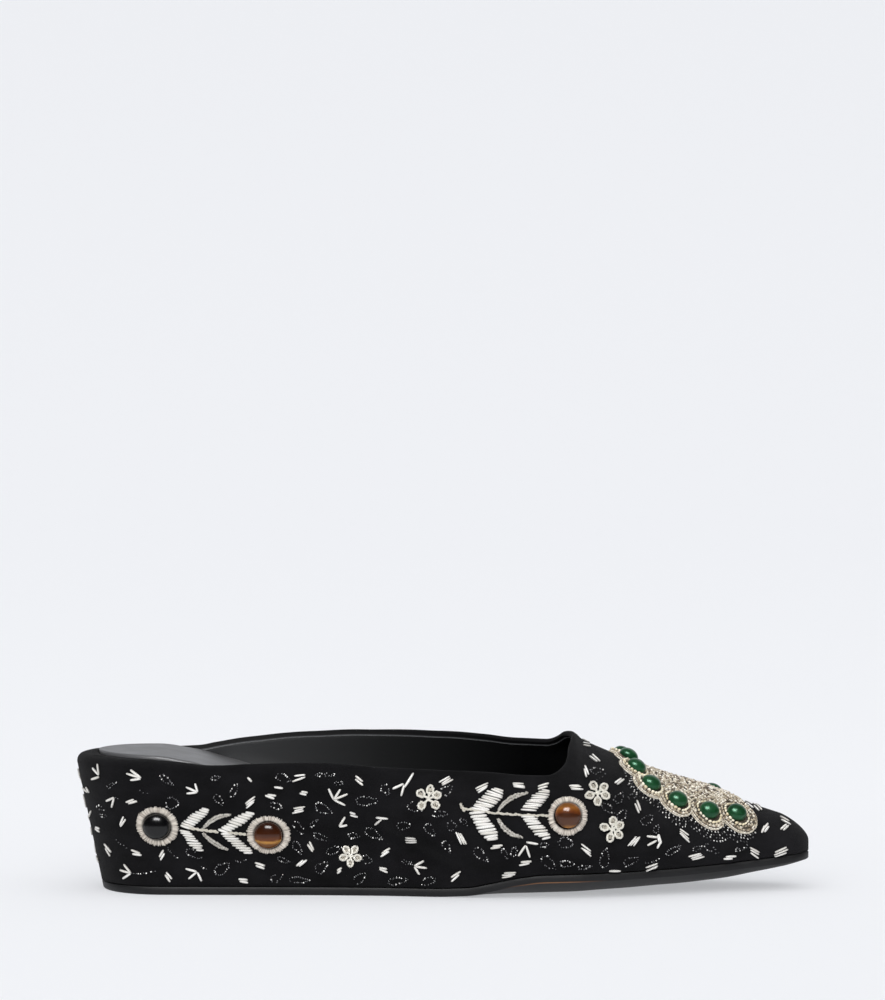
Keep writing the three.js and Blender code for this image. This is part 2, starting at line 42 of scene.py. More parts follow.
# Form of the last, in millimetres from the heel's back: the same wall function as the solids

mm = 0.001  # a millimetre in the frame's metres
lastSize = dict(
    length=261.0, rimHeight=49.5, heelLean=10.0, heelBack=0.6, leanReach=6.0,
    soleThick=2.9, treadFlat=0.5, treadPower=3.5, soleOverhang=0.2, leastSeamRise=0.8, leastBulgeRise=1.2,
    wall=2.0, insoleThick=2.0, gap=0.3,
    throatX=177.0, throatBow=1.5, throatSide=(175.4, 173.6),  # outer, inner
    cornerLength=(9.0, 6.1), cornerRise=(9.0, 3.4), cornerTurn=(90.0, 25.0),
    tipTop=16.6, heelRound=27.0, toeRound=9.0, tipRound=11.0,
    ridgeShift=3.0, ridgeReach=85.0, lipDepth=5.5, lipTurn=3.3,
    originX=130.5, originY=-0.2,
    troughDepth=1.5, troughReach=3.2, troughFrom=(84.0, 112.0), troughTo=(143.0, 153.0),
)
soleRows = [  # x, half width outer, inner, underside at the edge, at the middle
    (0, 25.4, 25.2, 0, 0), (45, 26.2, 25.6, 0, 0), (75, 26.8, 24.8, 0, 0), (100, 28.2, 24.4, 0, 0),
    (122, 31.2, 26, 0, 0), (136, 34, 28.8, 0.4, 0), (147, 36, 31.6, 2.1, 0), (158, 37.2, 34, 4.4, 0),
    (170, 37.2, 35.6, 5.4, 0.2), (188, 34, 34.6, 5.7, 1.1), (206, 28.2, 29.8, 6.2, 2.3),
    (224, 21.4, 22.8, 7.0, 3.7), (242, 14.8, 15.6, 8.4, 6.5), (260, 9.6, 9.8, 10.2, 10.2),
]
levelRows = [  # x, height of the seam, of the bulge, of the ridge
    (0, 43.5, 53, 106), (45, 40.6, 49, 104), (70, 36.4, 44, 101), (98, 27.6, 37, 93),
    (112, 21.4, 31, 86.5), (124, 14.8, 26, 80), (136, 9.4, 22, 73), (149, 7.6, 19.4, 66),
    (162, 9.4, 18, 60.2), (172, 9.7, 17.7, 56.7), (177.3, 9.8, 17.5, 55.1), (180.2, 9.9, 17.4, 52.5),
    (183.8, 9.9, 17.3, 50.8), (191, 10, 17, 47.7), (206, 10.3, 16.8, 39.7), (224, 11.0, 16.2, 34.4),
    (242, 12.4, 16.0, 29.2), (260, 14.3, 15.8, 23.4),
]
widthRows = [  # x, half width at the seam outer, inner, at the bulge outer, inner
    (0, 28.2, 28, 29.2, 29), (45, 29.2, 28.6, 30, 29.4), (70, 29.7, 27.8, 30.8, 29.4),
    (98, 30.6, 27.2, 32.8, 30.2), (112, 31.6, 27.8, 34.8, 31.6), (124, 32.6, 28.8, 36.6, 33.4),
    (136, 34.4, 30.4, 38.2, 35.2), (149, 36.6, 33, 39.4, 37), (162, 37.8, 35.4, 39.8, 38.2),
    (175, 37.2, 36.2, 38.8, 38), (190, 34, 34.6, 35.2, 35.8), (206, 28.6, 30.2, 29.6, 31.2),
    (224, 21.8, 23.2, 22.6, 24), (242, 15.2, 16, 15.8, 16.6), (260, 10, 10.2, 10.3, 10.5),
]
collarRows = [  # x, collar height outer, inner
    (0, 48.4, 48.4), (18, 48.2, 48.4), (30, 47.6, 48.0), (40, 46.8, 48.2), (48, 46.2, 49.3),
    (62, 46.8, 51.4), (86, 47.4, 53.5), (106, 46.3, 54.1), (128, 45.4, 53.7), (146, 44.6, 52.6),
    (158, 43.5, 51.4), (175, 42.9, 51.2),
]
rimRows = [  # x, width of the turned-in lip, rounding of its edge
    (0, 8.3, 3.6), (14, 5.6, 3.2), (34, 3.8, 2.5), (48, 2.4, 1.3), (62, 2, 0.9), (175, 2, 0.9),
]
footRows = [  # x, top of the insole
    (0, 49.65), (22, 49.3), (36, 47.8), (50, 44.4), (66, 39.6), (98, 27.8), (122, 17.4), (138, 10.6),
    (150, 6.9), (162, 5.6), (175, 5.6), (188, 6.4), (206, 8.1), (224, 10.4), (242, 13.3), (260, 15.6),
]


def eased(share):
    share = np.clip(share, 0, 1)
    return share * share * (3 - 2 * share)


def between(value, start, end):  # grows over the first stretch and ends over the second
    rising = eased((value - start[0]) / (start[1] - start[0]))
    falling = eased((value - end[0]) / (end[1] - end[0]))
    return rising * (1 - falling)


def asArrays(*values):
    return np.broadcast_arrays(*(np.asarray(value, float) for value in values))


def column(rows, index):  # one column of a table as a smooth curve that never overshoots
    xs = np.array([row[0] for row in rows], float)
    ys = np.array([row[index] for row in rows], float)
    slopes = np.diff(ys) / np.diff(xs)
    before, after = np.append(slopes[0], slopes), np.append(slopes, slopes[-1])
    bend = before * after
    tangents = np.where(bend > 0, 2 * bend / np.where(bend > 0, before + after, 1), 0)

    def read(x):
        i = np.clip(np.searchsorted(xs, x) - 1, 0, len(xs) - 2)
        wide = xs[i + 1] - xs[i]
        t = np.clip((x - xs[i]) / wide, 0, 1)
        start = ys[i] + t * wide * tangents[i]
        end = ys[i + 1] - (1 - t) * wide * tangents[i + 1]
        return start + (end - start) * eased(t)

    return read


soleWidth = [column(soleRows, 1), column(soleRows, 2)]
soleEdge, soleMiddle = column(soleRows, 3), column(soleRows, 4)
seamLevel, bulgeLevel, ridgeLine = (column(levelRows, i) for i in (1, 2, 3))
seamWidth = [column(widthRows, 1), column(widthRows, 2)]
bulgeWidth = [column(widthRows, 3), column(widthRows, 4)]
collarHeight = [column(collarRows, 1), column(collarRows, 2)]
lipWidth, rimRound = column(rimRows, 1), column(rimRows, 2)
footTop = column(footRows, 1)
outer, inner = -1, 1  # the two sides of the shoe, as signs of y


def sideIndex(side):
    return 0 if side < 0 else 1


def endShare(distance, reach):
    rest = 1 - np.clip(distance / reach, 0, 1)
    return np.sqrt(1 - rest * rest)


def planRound(x):
    return endShare(x, lastSize["heelRound"]) * endShare(lastSize["length"] - x, lastSize["toeRound"])


def alongShoe(x, z, inset):  # the heel's back leans, and an inset wall starts later
    share = x / lastSize["length"]
    lean = lastSize["heelLean"] * (1 - z / lastSize["rimHeight"]) - lastSize["heelBack"]
    return x + inset * (1 - 2 * share) + lean * (1 - share) ** lastSize["leanReach"]


def troughAt(x):
    return lastSize["troughDepth"] * between(x, lastSize["troughFrom"], lastSize["troughTo"])


def wallProfile(side, x, rise, inset):  # height and half width; rise 0 sole, 1 seam, 2 bulge, 3 ridge
    i = sideIndex(side)
    bottom = soleEdge(x) + lastSize["soleThick"] + lastSize["gap"]
    seam = np.maximum(seamLevel(x), bottom + lastSize["leastSeamRise"])
    bulge = np.maximum(bulgeLevel(x), seam + lastSize["leastBulgeRise"])
    tip = endShare(lastSize["length"] - x, lastSize["tipRound"])
    ridge = lastSize["tipTop"] + (ridgeLine(x) - lastSize["tipTop"]) * tip
    soleHalf = soleWidth[i](x) - lastSize["soleOverhang"]
    seamHalf, bulgeHalf = seamWidth[i](x), bulgeWidth[i](x)
    low, middle = np.clip(rise, 0, 1), np.clip(rise - 1, 0, 1)
    arch = np.clip(rise - 2, 0, 1) * math.pi / 2
    zLow = bottom + (seam - bottom) * low
    zMiddle = seam + (bulge - seam) * middle
    zArch = bulge + (ridge - inset - bulge) * np.sin(arch)
    z = np.where(rise <= 1, zLow, np.where(rise <= 2, zMiddle, zArch))
    trough = troughAt(x) * np.exp(-(((z - seam) / lastSize["troughReach"]) ** 2))
    halfLow = soleHalf + (seamHalf - soleHalf) * low
    halfMiddle = seamHalf + (bulgeHalf - seamHalf) * np.sin(middle * math.pi / 2)
    half = np.where(rise <= 1, halfLow, halfMiddle) - inset - trough
    return z, np.where(rise <= 2, half, (bulgeHalf - inset) * np.cos(arch))


def wallPoint(side, x, rise, inset=0.0):
    x, rise, inset = asArrays(x, rise, inset)
    z, half = wallProfile(side, x, rise, inset)
    shift = lastSize["ridgeShift"] * np.clip((lastSize["length"] - x) / lastSize["ridgeReach"], 0, 1)
    archShare = np.sin(np.clip(rise - 2, 0, 1) * math.pi / 2)
    y = side * half * planRound(x) + shift * archShare**2
    return np.stack([alongShoe(x, z, inset), y, z], -1)


def unit(vectors):
    return vectors / np.maximum(np.linalg.norm(vectors, axis=-1, keepdims=True), 1e-9)


def runAlong(line):  # length run up to each point of a line
    return np.append(0, np.linalg.norm(np.diff(line, axis=0), axis=1).cumsum())


facingStep = dict(along=0.4, up=0.02, firstX=0.05, lastX=259.9, lastRise=2.995)  # how a facing is measured


def wallNormal(side, x, rise):
    x, rise = asArrays(x, rise)
    step = facingStep
    ahead = wallPoint(side, np.minimum(x + step["along"], step["lastX"]), rise)
    behind = wallPoint(side, np.maximum(x - step["along"], step["firstX"]), rise)
    above = wallPoint(side, x, np.minimum(rise + step["up"], step["lastRise"]))
    below = wallPoint(side, x, np.maximum(rise - step["up"], 0))
    return unit(np.cross(ahead - behind, above - below) * -side)


def riseAt(side, x, z):  # where the wall reaches a height
    x, z = asArrays(x, z)
    low, high = np.zeros(x.shape), np.full(x.shape, 3.0)
    for _ in range(40):
        middle = (low + high) / 2
        below = wallProfile(side, x, middle, 0.0)[0] < z
        low, high = np.where(below, middle, low), np.where(below, high, middle)
    return (low + high) / 2


def riseAlong(side, x, start, distance):  # the rise a distance up the wall from another
    x, start, distance = (np.atleast_1d(values) for values in asArrays(x, start, distance))
    rises = np.linspace(0, 3, 301)
    line = wallPoint(side, x[:, None], rises[None, :])
    run = np.linalg.norm(np.diff(line, axis=1), axis=2).cumsum(1)
    run = np.concatenate([np.zeros((len(x), 1)), run], 1)
    goal = np.array([np.interp(s, rises, r) for s, r in zip(start, run)]) + distance
    return np.array([np.interp(g, r, rises) for g, r in zip(goal, run)])


def toFrame(points):  # last millimetres to the frame's metres
    return (np.asarray(points, float) - [lastSize["originX"], lastSize["originY"], 0]) * mm


# Camera, and where its view meets the outer wall

photoView = dict(
    width=885, height=1000, distance=2.2, elevation=6.0, aimHeight=0.025,  # metres, degrees
    mmPerPixel=0.3567, groundPixel=896.5, groundDepth=-0.030, middlePixel=442.8, sensor=36.0,
)
focalPixels = photoView["distance"] / (photoView["mmPerPixel"] * mm)


def viewAxes():
    tilt = math.radians(photoView["elevation"])
    forward = np.array([0, math.cos(tilt), -math.sin(tilt)])
    right = np.array([1.0, 0, 0])
    place = np.array([0, 0, photoView["aimHeight"]]) - forward * photoView["distance"]
    return place, forward, right, np.cross(right, forward)


def viewPlane(points):  # pixels right of and below the line of sight
    place, forward, right, up = viewAxes()
    away = np.asarray(points) - place
    depth = away @ forward
    return np.stack([focalPixels * (away @ right) / depth, -focalPixels * (away @ up) / depth], -1)


groundMark = viewPlane([0, photoView["groundDepth"], 0])
sightPixel = np.array([photoView["middlePixel"] - groundMark[0], photoView["groundPixel"] - groundMark[1]])


def photoPixel(points):
    return viewPlane(points) + sightPixel


def addObject(name, data):
    made = bpy.data.objects.new(name, data)
    bpy.context.scene.collection.objects.link(made)
    return made


def addCamera():
    data = bpy.data.cameras.new("photoCamera")
    data.sensor_width = photoView["sensor"]
    data.lens = focalPixels * photoView["sensor"] / photoView["height"]
    data.shift_x = (photoView["width"] / 2 - sightPixel[0]) / photoView["height"]
    data.shift_y = (sightPixel[1] - photoView["height"] / 2) / photoView["height"]
    data.clip_start, data.clip_end = 0.05, 30
    camera = addObject("photoCamera", data)
    camera.location = viewAxes()[0]
    camera.rotation_euler = (math.radians(90 - photoView["elevation"]), 0, 0)
    bpy.context.scene.camera = camera


addCamera()
print("camera set")

chartGrid = dict(stations=(0.02, 259.9), stationStep=0.25, lastRise=2.999, riseSteps=420, pixelReach=2.5)
chartX = np.arange(*chartGrid["stations"], chartGrid["stationStep"])
chartRise = np.linspace(0.0, chartGrid["lastRise"], chartGrid["riseSteps"])
chartPixels = photoPixel(toFrame(wallPoint(outer, chartX[:, None], chartRise[None, :])))
columnLow, columnHigh = chartPixels[..., 0].min(1), chartPixels[..., 0].max(1)


def spotAt(px, py):  # station and rise of the wall that the photo shows at a pixel
    reach = chartGrid["pixelReach"]
    near = np.nonzero((columnLow < px + reach) & (columnHigh > px - reach))[0]
    miss = ((chartPixels[near] - [px, py]) ** 2).sum(-1)
    i, j = np.unravel_index(miss.argmin(), miss.shape)
    return chartX[near[i]], chartRise[j]


def spotsAt(pixels):
    return np.array([spotAt(px, py) for px, py in pixels])


# Meshes and Geometry Nodes

def storeAttribute(mesh, name, kind, values):
    field = "vector" if kind == "FLOAT_VECTOR" else "value"
    mesh.attributes.new(name, kind, "POINT").data.foreach_set(field, np.asarray(values, np.float32).ravel())


def cleanMesh(mesh, merge):  # joins doubled points, turns all faces outward and smooths them
    work = bmesh.new()
    work.from_mesh(mesh)
    bmesh.ops.remove_doubles(work, verts=work.verts, dist=merge)
    bmesh.ops.dissolve_degenerate(work, edges=work.edges, dist=merge)
    bmesh.ops.recalc_face_normals(work, faces=work.faces)
    for face in work.faces:
        face.smooth = True
    work.to_mesh(mesh)
    work.free()


def makeMesh(name, points, faces, materials, faceSlots=None, fields=None, merge=1e-6):
    mesh = bpy.data.meshes.new(name)
    mesh.from_pydata([tuple(p) for p in points], [], [tuple(int(i) for i in f) for f in faces])
    for label, values in (fields or {}).items():
        storeAttribute(mesh, label, "FLOAT", values)
    for material in materials:
        mesh.materials.append(material)
    if faceSlots is not None:
        mesh.polygons.foreach_set("material_index", np.asarray(faceSlots, np.int32))
    cleanMesh(mesh, merge)
    return addObject(name, mesh)


def sheetFaces(rows, columns, start=0, flipped=False, closed=False):
    i, j = np.meshgrid(np.arange(rows - 1), np.arange(columns if closed else columns - 1), indexing="ij")
    after = (j + 1) % columns
    near, far = i * columns, (i + 1) * columns
    quads = np.stack([near + j, far + j, far + after, near + after], -1).reshape(-1, 4) + start
    return quads[:, ::-1] if flipped else quads


def ridePiece(piece, slot, *replaced):
    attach(piece, "root")
    if replaced:
        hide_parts(*replaced)
    triangles = sum(len(p.vertices) - 2 for p in piece.data.polygons)
    print("piece", piece.name, triangles, "triangles")
    return piece


def newTree(name, inputs):
    tree = bpy.data.node_groups.new(name, "GeometryNodeTree")
    tree.interface.new_socket("Geometry", in_out="INPUT", socket_type="NodeSocketGeometry")
    for label, kind in inputs:
        tree.interface.new_socket(label, in_out="INPUT", socket_type=kind)
    tree.interface.new_socket("Geometry", in_out="OUTPUT", socket_type="NodeSocketGeometry")
    return tree, tree.nodes.new("NodeGroupInput"), tree.nodes.new("NodeGroupOutput")


def namedField(tree, name, kind="FLOAT_VECTOR"):
    node = tree.nodes.new("GeometryNodeInputNamedAttribute")
    node.data_type = kind
    node.inputs["Name"].default_value = name
    return next(s for s in node.outputs if s.enabled and s.name == "Attribute")


def paintAndEnd(tree, source, given, made):  # one real mesh in the given material comes out
    real = tree.nodes.new("GeometryNodeRealizeInstances")
    tree.links.new(source, real.inputs[0])
    paint = tree.nodes.new("GeometryNodeSetMaterial")
    tree.links.new(real.outputs[0], paint.inputs["Geometry"])
    tree.links.new(given.outputs["Material"], paint.inputs["Material"])
    tree.links.new(paint.outputs[0], made.inputs["Geometry"])


def placingTree():  # one small shape set on each point, turned to the wall there
    tree, given, made = newTree("setOnWall", [
        ("Shape", "NodeSocketObject"), ("Size Jitter", "NodeSocketFloat"), ("Seed", "NodeSocketInt"),
        ("Material", "NodeSocketMaterial"),
    ])
    link = tree.links.new
    shape = tree.nodes.new("GeometryNodeObjectInfo")
    link(given.outputs["Shape"], shape.inputs["Object"])
    turn = tree.nodes.new("FunctionNodeAxesToRotation")
    turn.primary_axis, turn.secondary_axis = "Z", "X"
    link(namedField(tree, "facing"), turn.inputs["Primary Axis"])
    link(namedField(tree, "lying"), turn.inputs["Secondary Axis"])
    jitter = tree.nodes.new("FunctionNodeRandomValue")
    jitter.data_type = "FLOAT"
    smallest, largest = (tree.nodes.new("ShaderNodeMath") for _ in range(2))
    smallest.operation, largest.operation = "SUBTRACT", "ADD"
    for node in (smallest, largest):
        node.inputs[0].default_value = 1.0
        link(given.outputs["Size Jitter"], node.inputs[1])
    floats = [s for s in jitter.inputs if s.enabled and s.type == "VALUE"]
    link(smallest.outputs[0], floats[0])
    link(largest.outputs[0], floats[1])
    link(given.outputs["Seed"], jitter.inputs["Seed"])
    scale = tree.nodes.new("ShaderNodeVectorMath")
    scale.operation = "SCALE"
    link(namedField(tree, "span"), scale.inputs[0])
    link(next(s for s in jitter.outputs if s.enabled), scale.inputs["Scale"])
    place = tree.nodes.new("GeometryNodeInstanceOnPoints")
    link(given.outputs["Geometry"], place.inputs["Points"])
    link(shape.outputs["Geometry"], place.inputs["Instance"])
    link(turn.outputs[0], place.inputs["Rotation"])
    link(scale.outputs[0], place.inputs["Scale"])
    paintAndEnd(tree, place.outputs[0], given, made)
    return tree


def cordTree():  # a round cord along each drawn path, as thick as the path says
    tree, given, made = newTree("cordOnPath", [
        ("Thickness", "NodeSocketFloat"), ("Sides", "NodeSocketInt"), ("Material", "NodeSocketMaterial"),
    ])
    link = tree.links.new
    path = tree.nodes.new("GeometryNodeMeshToCurve")
    link(given.outputs["Geometry"], path.inputs[0])
    ring = tree.nodes.new("GeometryNodeCurvePrimitiveCircle")
    link(given.outputs["Sides"], ring.inputs["Resolution"])
    half = tree.nodes.new("ShaderNodeMath")
    half.operation = "MULTIPLY"
    half.inputs[1].default_value = 0.5
    link(given.outputs["Thickness"], half.inputs[0])
    link(half.outputs[0], ring.inputs["Radius"])
    sweep = tree.nodes.new("GeometryNodeCurveToMesh")
    sweep.inputs["Fill Caps"].default_value = True
    link(path.outputs[0], sweep.inputs["Curve"])
    link(ring.outputs["Curve"], sweep.inputs["Profile Curve"])
    link(namedField(tree, "thick", "FLOAT"), sweep.inputs["Scale"])
    paintAndEnd(tree, sweep.outputs[0], given, made)
    return tree


def applyTree(piece, tree, values):
    modifier = piece.modifiers.new("nodes", "NODES")
    modifier.node_group = tree
    for item in tree.interface.items_tree:
        if item.item_type == "SOCKET" and item.in_out == "INPUT" and item.name in values:
            modifier[item.identifier] = values[item.name]
    graph = bpy.context.evaluated_depsgraph_get()
    mesh = bpy.data.meshes.new_from_object(
        piece.evaluated_get(graph), preserve_all_data_layers=True, depsgraph=graph)
    piece.modifiers.clear()
    old = piece.data
    piece.data = mesh
    bpy.data.meshes.remove(old)
    mesh.name = piece.name
    return piece


class Setting:  # small things to set on the wall: places, facings, lying directions, spans, shades
    def __init__(self):
        self.rows = []

    def add(self, points, facings, lyings, spans, shades):
        points = np.atleast_2d(points)
        count = len(points)
        spread = [np.broadcast_to(np.asarray(a, float), (count, 3)) for a in (facings, lyings, spans)]
        shade = np.broadcast_to(np.asarray(shades, float), (count,))[:, None]
        self.rows.append(np.hstack([points, *spread, shade]))

    def build(self, name, shape, material, jitter, seed):
        data = np.vstack(self.rows)
        mesh = bpy.data.meshes.new(name)
        mesh.from_pydata([tuple(p) for p in toFrame(data[:, :3])], [], [])
        fields = (("facing", data[:, 3:6]), ("lying", data[:, 6:9]), ("span", data[:, 9:12] * mm))
        for label, values in fields:
            storeAttribute(mesh, label, "FLOAT_VECTOR", values)
        storeAttribute(mesh, "shade", "FLOAT", data[:, 12])
        given = {"Shape": shape, "Size Jitter": jitter, "Seed": seed, "Material": material}
        return applyTree(addObject(name, mesh), setOnWall, given)


class Cords:  # paths on the wall, each with its thickness and running length
    def __init__(self):
        self.paths = []

    def add(self, points, thick, closed=False, shade=0.5):
        points = np.asarray(points, float)
        thick = np.broadcast_to(np.asarray(thick, float), (len(points),))
        self.paths.append((points, thick, closed, shade))

    def build(self, name, material, sides):
        points, edges, thick, run, shade = [], [], [], [], []
        for path, width, closed, tone in self.paths:
            start, count = len(points), len(path)
            points += [tuple(p) for p in toFrame(path)]
            edges += [(start + i, start + i + 1) for i in range(count - 1)]
            edges += [(start + count - 1, start)] if closed else []
            run += list(runAlong(path))
            thick += list(width)
            shade += [tone] * count
        mesh = bpy.data.meshes.new(name)
        mesh.from_pydata(points, edges, [])
        for label, values in (("thick", thick), ("run", run), ("shade", shade)):
            storeAttribute(mesh, label, "FLOAT", values)
        given = {"Thickness": mm, "Sides": sides, "Material": material}
        piece = applyTree(addObject(name, mesh), cordOnPath, given)
        piece.data.polygons.foreach_set("use_smooth", np.ones(len(piece.data.polygons), bool))
        return piece


setOnWall = placingTree()
cordOnPath = cordTree()


def grainShape(name, sides, rings, blunt):  # a round grain one unit long along x, blunter than an egg
    points, uvs, crowns = [], [], []
    for i in range(rings + 1):
        turn = math.pi * i / rings
        along, radius = -math.cos(turn) / 2, abs(math.sin(turn)) ** blunt / 2
        for j in range(sides):
            angle = 2 * math.pi * j / sides
            points.append((along, radius * math.cos(angle), radius * math.sin(angle)))
            uvs.append((along + 0.5, j / sides))
            crowns.append(0.5 + radius * math.sin(angle))
    faces = sheetFaces(rings + 1, sides, flipped=True, closed=True)
    mesh = bpy.data.meshes.new(name)
    mesh.from_pydata(points, [], [tuple(int(k) for k in f) for f in faces])
    storeAttribute(mesh, "crown", "FLOAT", crowns)  # 1 on top, 0 below; the thread finishes paint shade on each thread's sides by it
    layer = mesh.uv_layers.new(name="UVMap")
    for loop in mesh.loops:
        layer.data[loop.index].uv = uvs[loop.vertex_index]
    cleanMesh(mesh, 1e-5)
    return addObject(name, mesh)


beadShape = grainShape("beadShape", sides=7, rings=4, blunt=1.0)
stitchShape = grainShape("stitchShape", sides=8, rings=7, blunt=0.4)

# Finishes

def newFinish(name, colour, roughness, **settings):
    material = bpy.data.materials.new(name)
    material.use_nodes = True
    shader = material.node_tree.nodes["Principled BSDF"]
    shader.inputs["Base Color"].default_value = (*colour, 1)
    shader.inputs["Roughness"].default_value = roughness
    for label, value in settings.items():
        shader.inputs[label.replace("_", " ")].default_value = value
    return material, material.node_tree, shader


def addNode(tree, kind, **settings):
    node = tree.nodes.new(kind)
    for label, value in settings.items():
        if label in node.inputs:
            node.inputs[label].default_value = value
        else:
            setattr(node, label, value)
    return node


def objectNoise(tree, scale, detail=3.0, roughness=0.55, stretch=None):
    place = addNode(tree, "ShaderNodeTexCoord")
    noise = addNode(tree, "ShaderNodeTexNoise", Scale=scale, Detail=detail, Roughness=roughness)
    source = place.outputs["Object"]
    if stretch:
        mapping = addNode(tree, "ShaderNodeMapping")
        mapping.inputs["Scale"].default_value = stretch
        tree.links.new(source, mapping.inputs["Vector"])
        source = mapping.outputs["Vector"]
    tree.links.new(source, noise.inputs["Vector"])
    return noise.outputs["Fac"]


def addRamp(tree, source, stops):
    ramp = addNode(tree, "ShaderNodeValToRGB")
    points = ramp.color_ramp.elements
    while len(points) < len(stops):
        points.new(0.5)
    for point, (place, colour) in zip(points, stops):
        point.position = place
        point.color = (*colour, 1)
    tree.links.new(source, ramp.inputs["Fac"])
    return ramp.outputs["Color"]


def addBump(tree, shader, source, strength, distance, before=None):
    bump = addNode(tree, "ShaderNodeBump", Strength=strength, Distance=distance)
    tree.links.new(source, bump.inputs["Height"])
    if before:
        tree.links.new(before, bump.inputs["Normal"])
    tree.links.new(bump.outputs["Normal"], shader.inputs["Normal"])
    return bump.outputs["Normal"]


def pinRange(tree, source, low, high, start=0.0, end=1.0):  # low where a value starts, high where it ends
    scale = addNode(tree, "ShaderNodeMapRange")
    for label, value in (("From Min", start), ("From Max", end), ("To Min", low), ("To Max", high)):
        scale.inputs[label].default_value = value
    tree.links.new(source, scale.inputs["Value"])
    return scale.outputs["Result"]


def objectAxis(tree, axis):
    split = addNode(tree, "ShaderNodeSeparateXYZ")
    tree.links.new(addNode(tree, "ShaderNodeTexCoord").outputs["Object"], split.inputs[0])
    return split.outputs[axis]


def readField(tree, name):
    return addNode(tree, "ShaderNodeAttribute", attribute_name=name).outputs["Fac"]


def mixColours(tree, share, under, over, blend="MIX"):
    mix = addNode(tree, "ShaderNodeMix", data_type="RGBA", blend_type=blend)
    mix.inputs[0].default_value = 1.0
    for source, index in ((share, 0), (under, 6), (over, 7)):
        if source is not None:
            tree.links.new(source, mix.inputs[index])
    return mix.outputs[2]


def shadeBy(tree, colour, source, stops):  # darkens a colour along a value
    dim = addRamp(tree, source, [(place, (tone,) * 3) for place, tone in stops])
    return mixColours(tree, None, colour, dim, "MULTIPLY")


def mottle(tree, shader, noise, dark, light, low=0.3, high=0.75):  # a base colour that follows a noise
    tree.links.new(addRamp(tree, noise, [(low, dark), (high, light)]), shader.inputs["Base Color"])


def suedeFinish():
    material, tree, shader = newFinish(
        "blackSuede", (0.006, 0.0058, 0.0064), 0.95, Specular_IOR_Level=0.05, Sheen_Weight=0.042,
        Sheen_Roughness=0.5)
    patches = objectNoise(tree, 70, 4, 0.6, (1.0, 1.0, 1.6))
    colour = addRamp(tree, patches, [(0.3, (0.0068, 0.0067, 0.0073)), (0.72, (0.0148, 0.0144, 0.0163))])
    toe = pinRange(tree, objectAxis(tree, "X"), 0.0, 1.0, start=0.05, end=0.12)  # painted light: the suede is painted a third darker everywhere but the toe, so the toe reads paler as if lit
    tree.links.new(shadeBy(tree, colour, toe, [(0.0, 0.66), (1.0, 1.0)]), shader.inputs["Base Color"])
    nap = addBump(tree, shader, objectNoise(tree, 2600, 4, 0.7), 0.55, 0.0004)
    addBump(tree, shader, objectNoise(tree, 420, 3, 0.6, (0.6, 1.0, 1.4)), 0.3, 0.0005, nap)
    return material


def leatherFinish(name, dark, light, roughness, grain):
    material, tree, shader = newFinish(name, dark, roughness, Specular_IOR_Level=0.45)
    mottle(tree, shader, objectNoise(tree, 45, 3), dark, light)
    place = addNode(tree, "ShaderNodeTexCoord")
    cells = addNode(tree, "ShaderNodeTexVoronoi", Scale=grain)
    tree.links.new(place.outputs["Object"], cells.inputs["Vector"])
    pebbles = addBump(tree, shader, cells.outputs["Distance"], 0.12, 0.0003)
    addBump(tree, shader, objectNoise(tree, 160, 3), 0.08, 0.0008, pebbles)
    polish = pinRange(tree, objectNoise(tree, 120), roughness - 0.07, roughness + 0.1)
    tree.links.new(polish, shader.inputs["Roughness"])
    return material


def threadFinish(name, tones, roughness, metallic, ribs, ribDepth, ribSource="UVMap",
                 sideShade=0, innerShade=0):
    material, tree, shader = newFinish(name, tones[1][1], roughness, Metallic=metallic)
    colour = addRamp(tree, readField(tree, "shade"), tones)
    if ribSource == "UVMap":
        place = addNode(tree, "ShaderNodeUVMap", uv_map="UVMap")
        split = addNode(tree, "ShaderNodeSeparateXYZ")
        tree.links.new(place.outputs["UV"], split.inputs[0])
        run = split.outputs["X"]
    else:
        run = readField(tree, ribSource)
    if sideShade:  # threads lie close and shade each other's sides
        colour = shadeBy(tree, colour, readField(tree, "crown"), [(0.5, sideShade), (0.96, 1.0)])
    if innerShade:  # the start of each thread lies in the shade of its stone
        colour = shadeBy(tree, colour, run, [(0.04, innerShade), (0.34, 1.0)])
    tree.links.new(colour, shader.inputs["Base Color"])
    turns = addNode(tree, "ShaderNodeMath", operation="MULTIPLY")
    turns.inputs[1].default_value = ribs * 2 * math.pi
    tree.links.new(run, turns.inputs[0])
    wave = addNode(tree, "ShaderNodeMath", operation="SINE")
    tree.links.new(turns.outputs[0], wave.inputs[0])
    ribbed = addBump(tree, shader, wave.outputs[0], ribDepth, 0.0002)
    addBump(tree, shader, objectNoise(tree, 3000, 2), 0.15, 0.0002, ribbed)
    return material


def beadFinish(name, tones, roughness, metallic):
    material, tree, shader = newFinish(
        name, tones[0][1], roughness, Metallic=metallic, Coat_Weight=0.4, Coat_Roughness=0.12)
    tree.links.new(addRamp(tree, readField(tree, "shade"), tones), shader.inputs["Base Color"])
    addBump(tree, shader, objectNoise(tree, 1800, 2), 0.1, 0.0002)
    return material


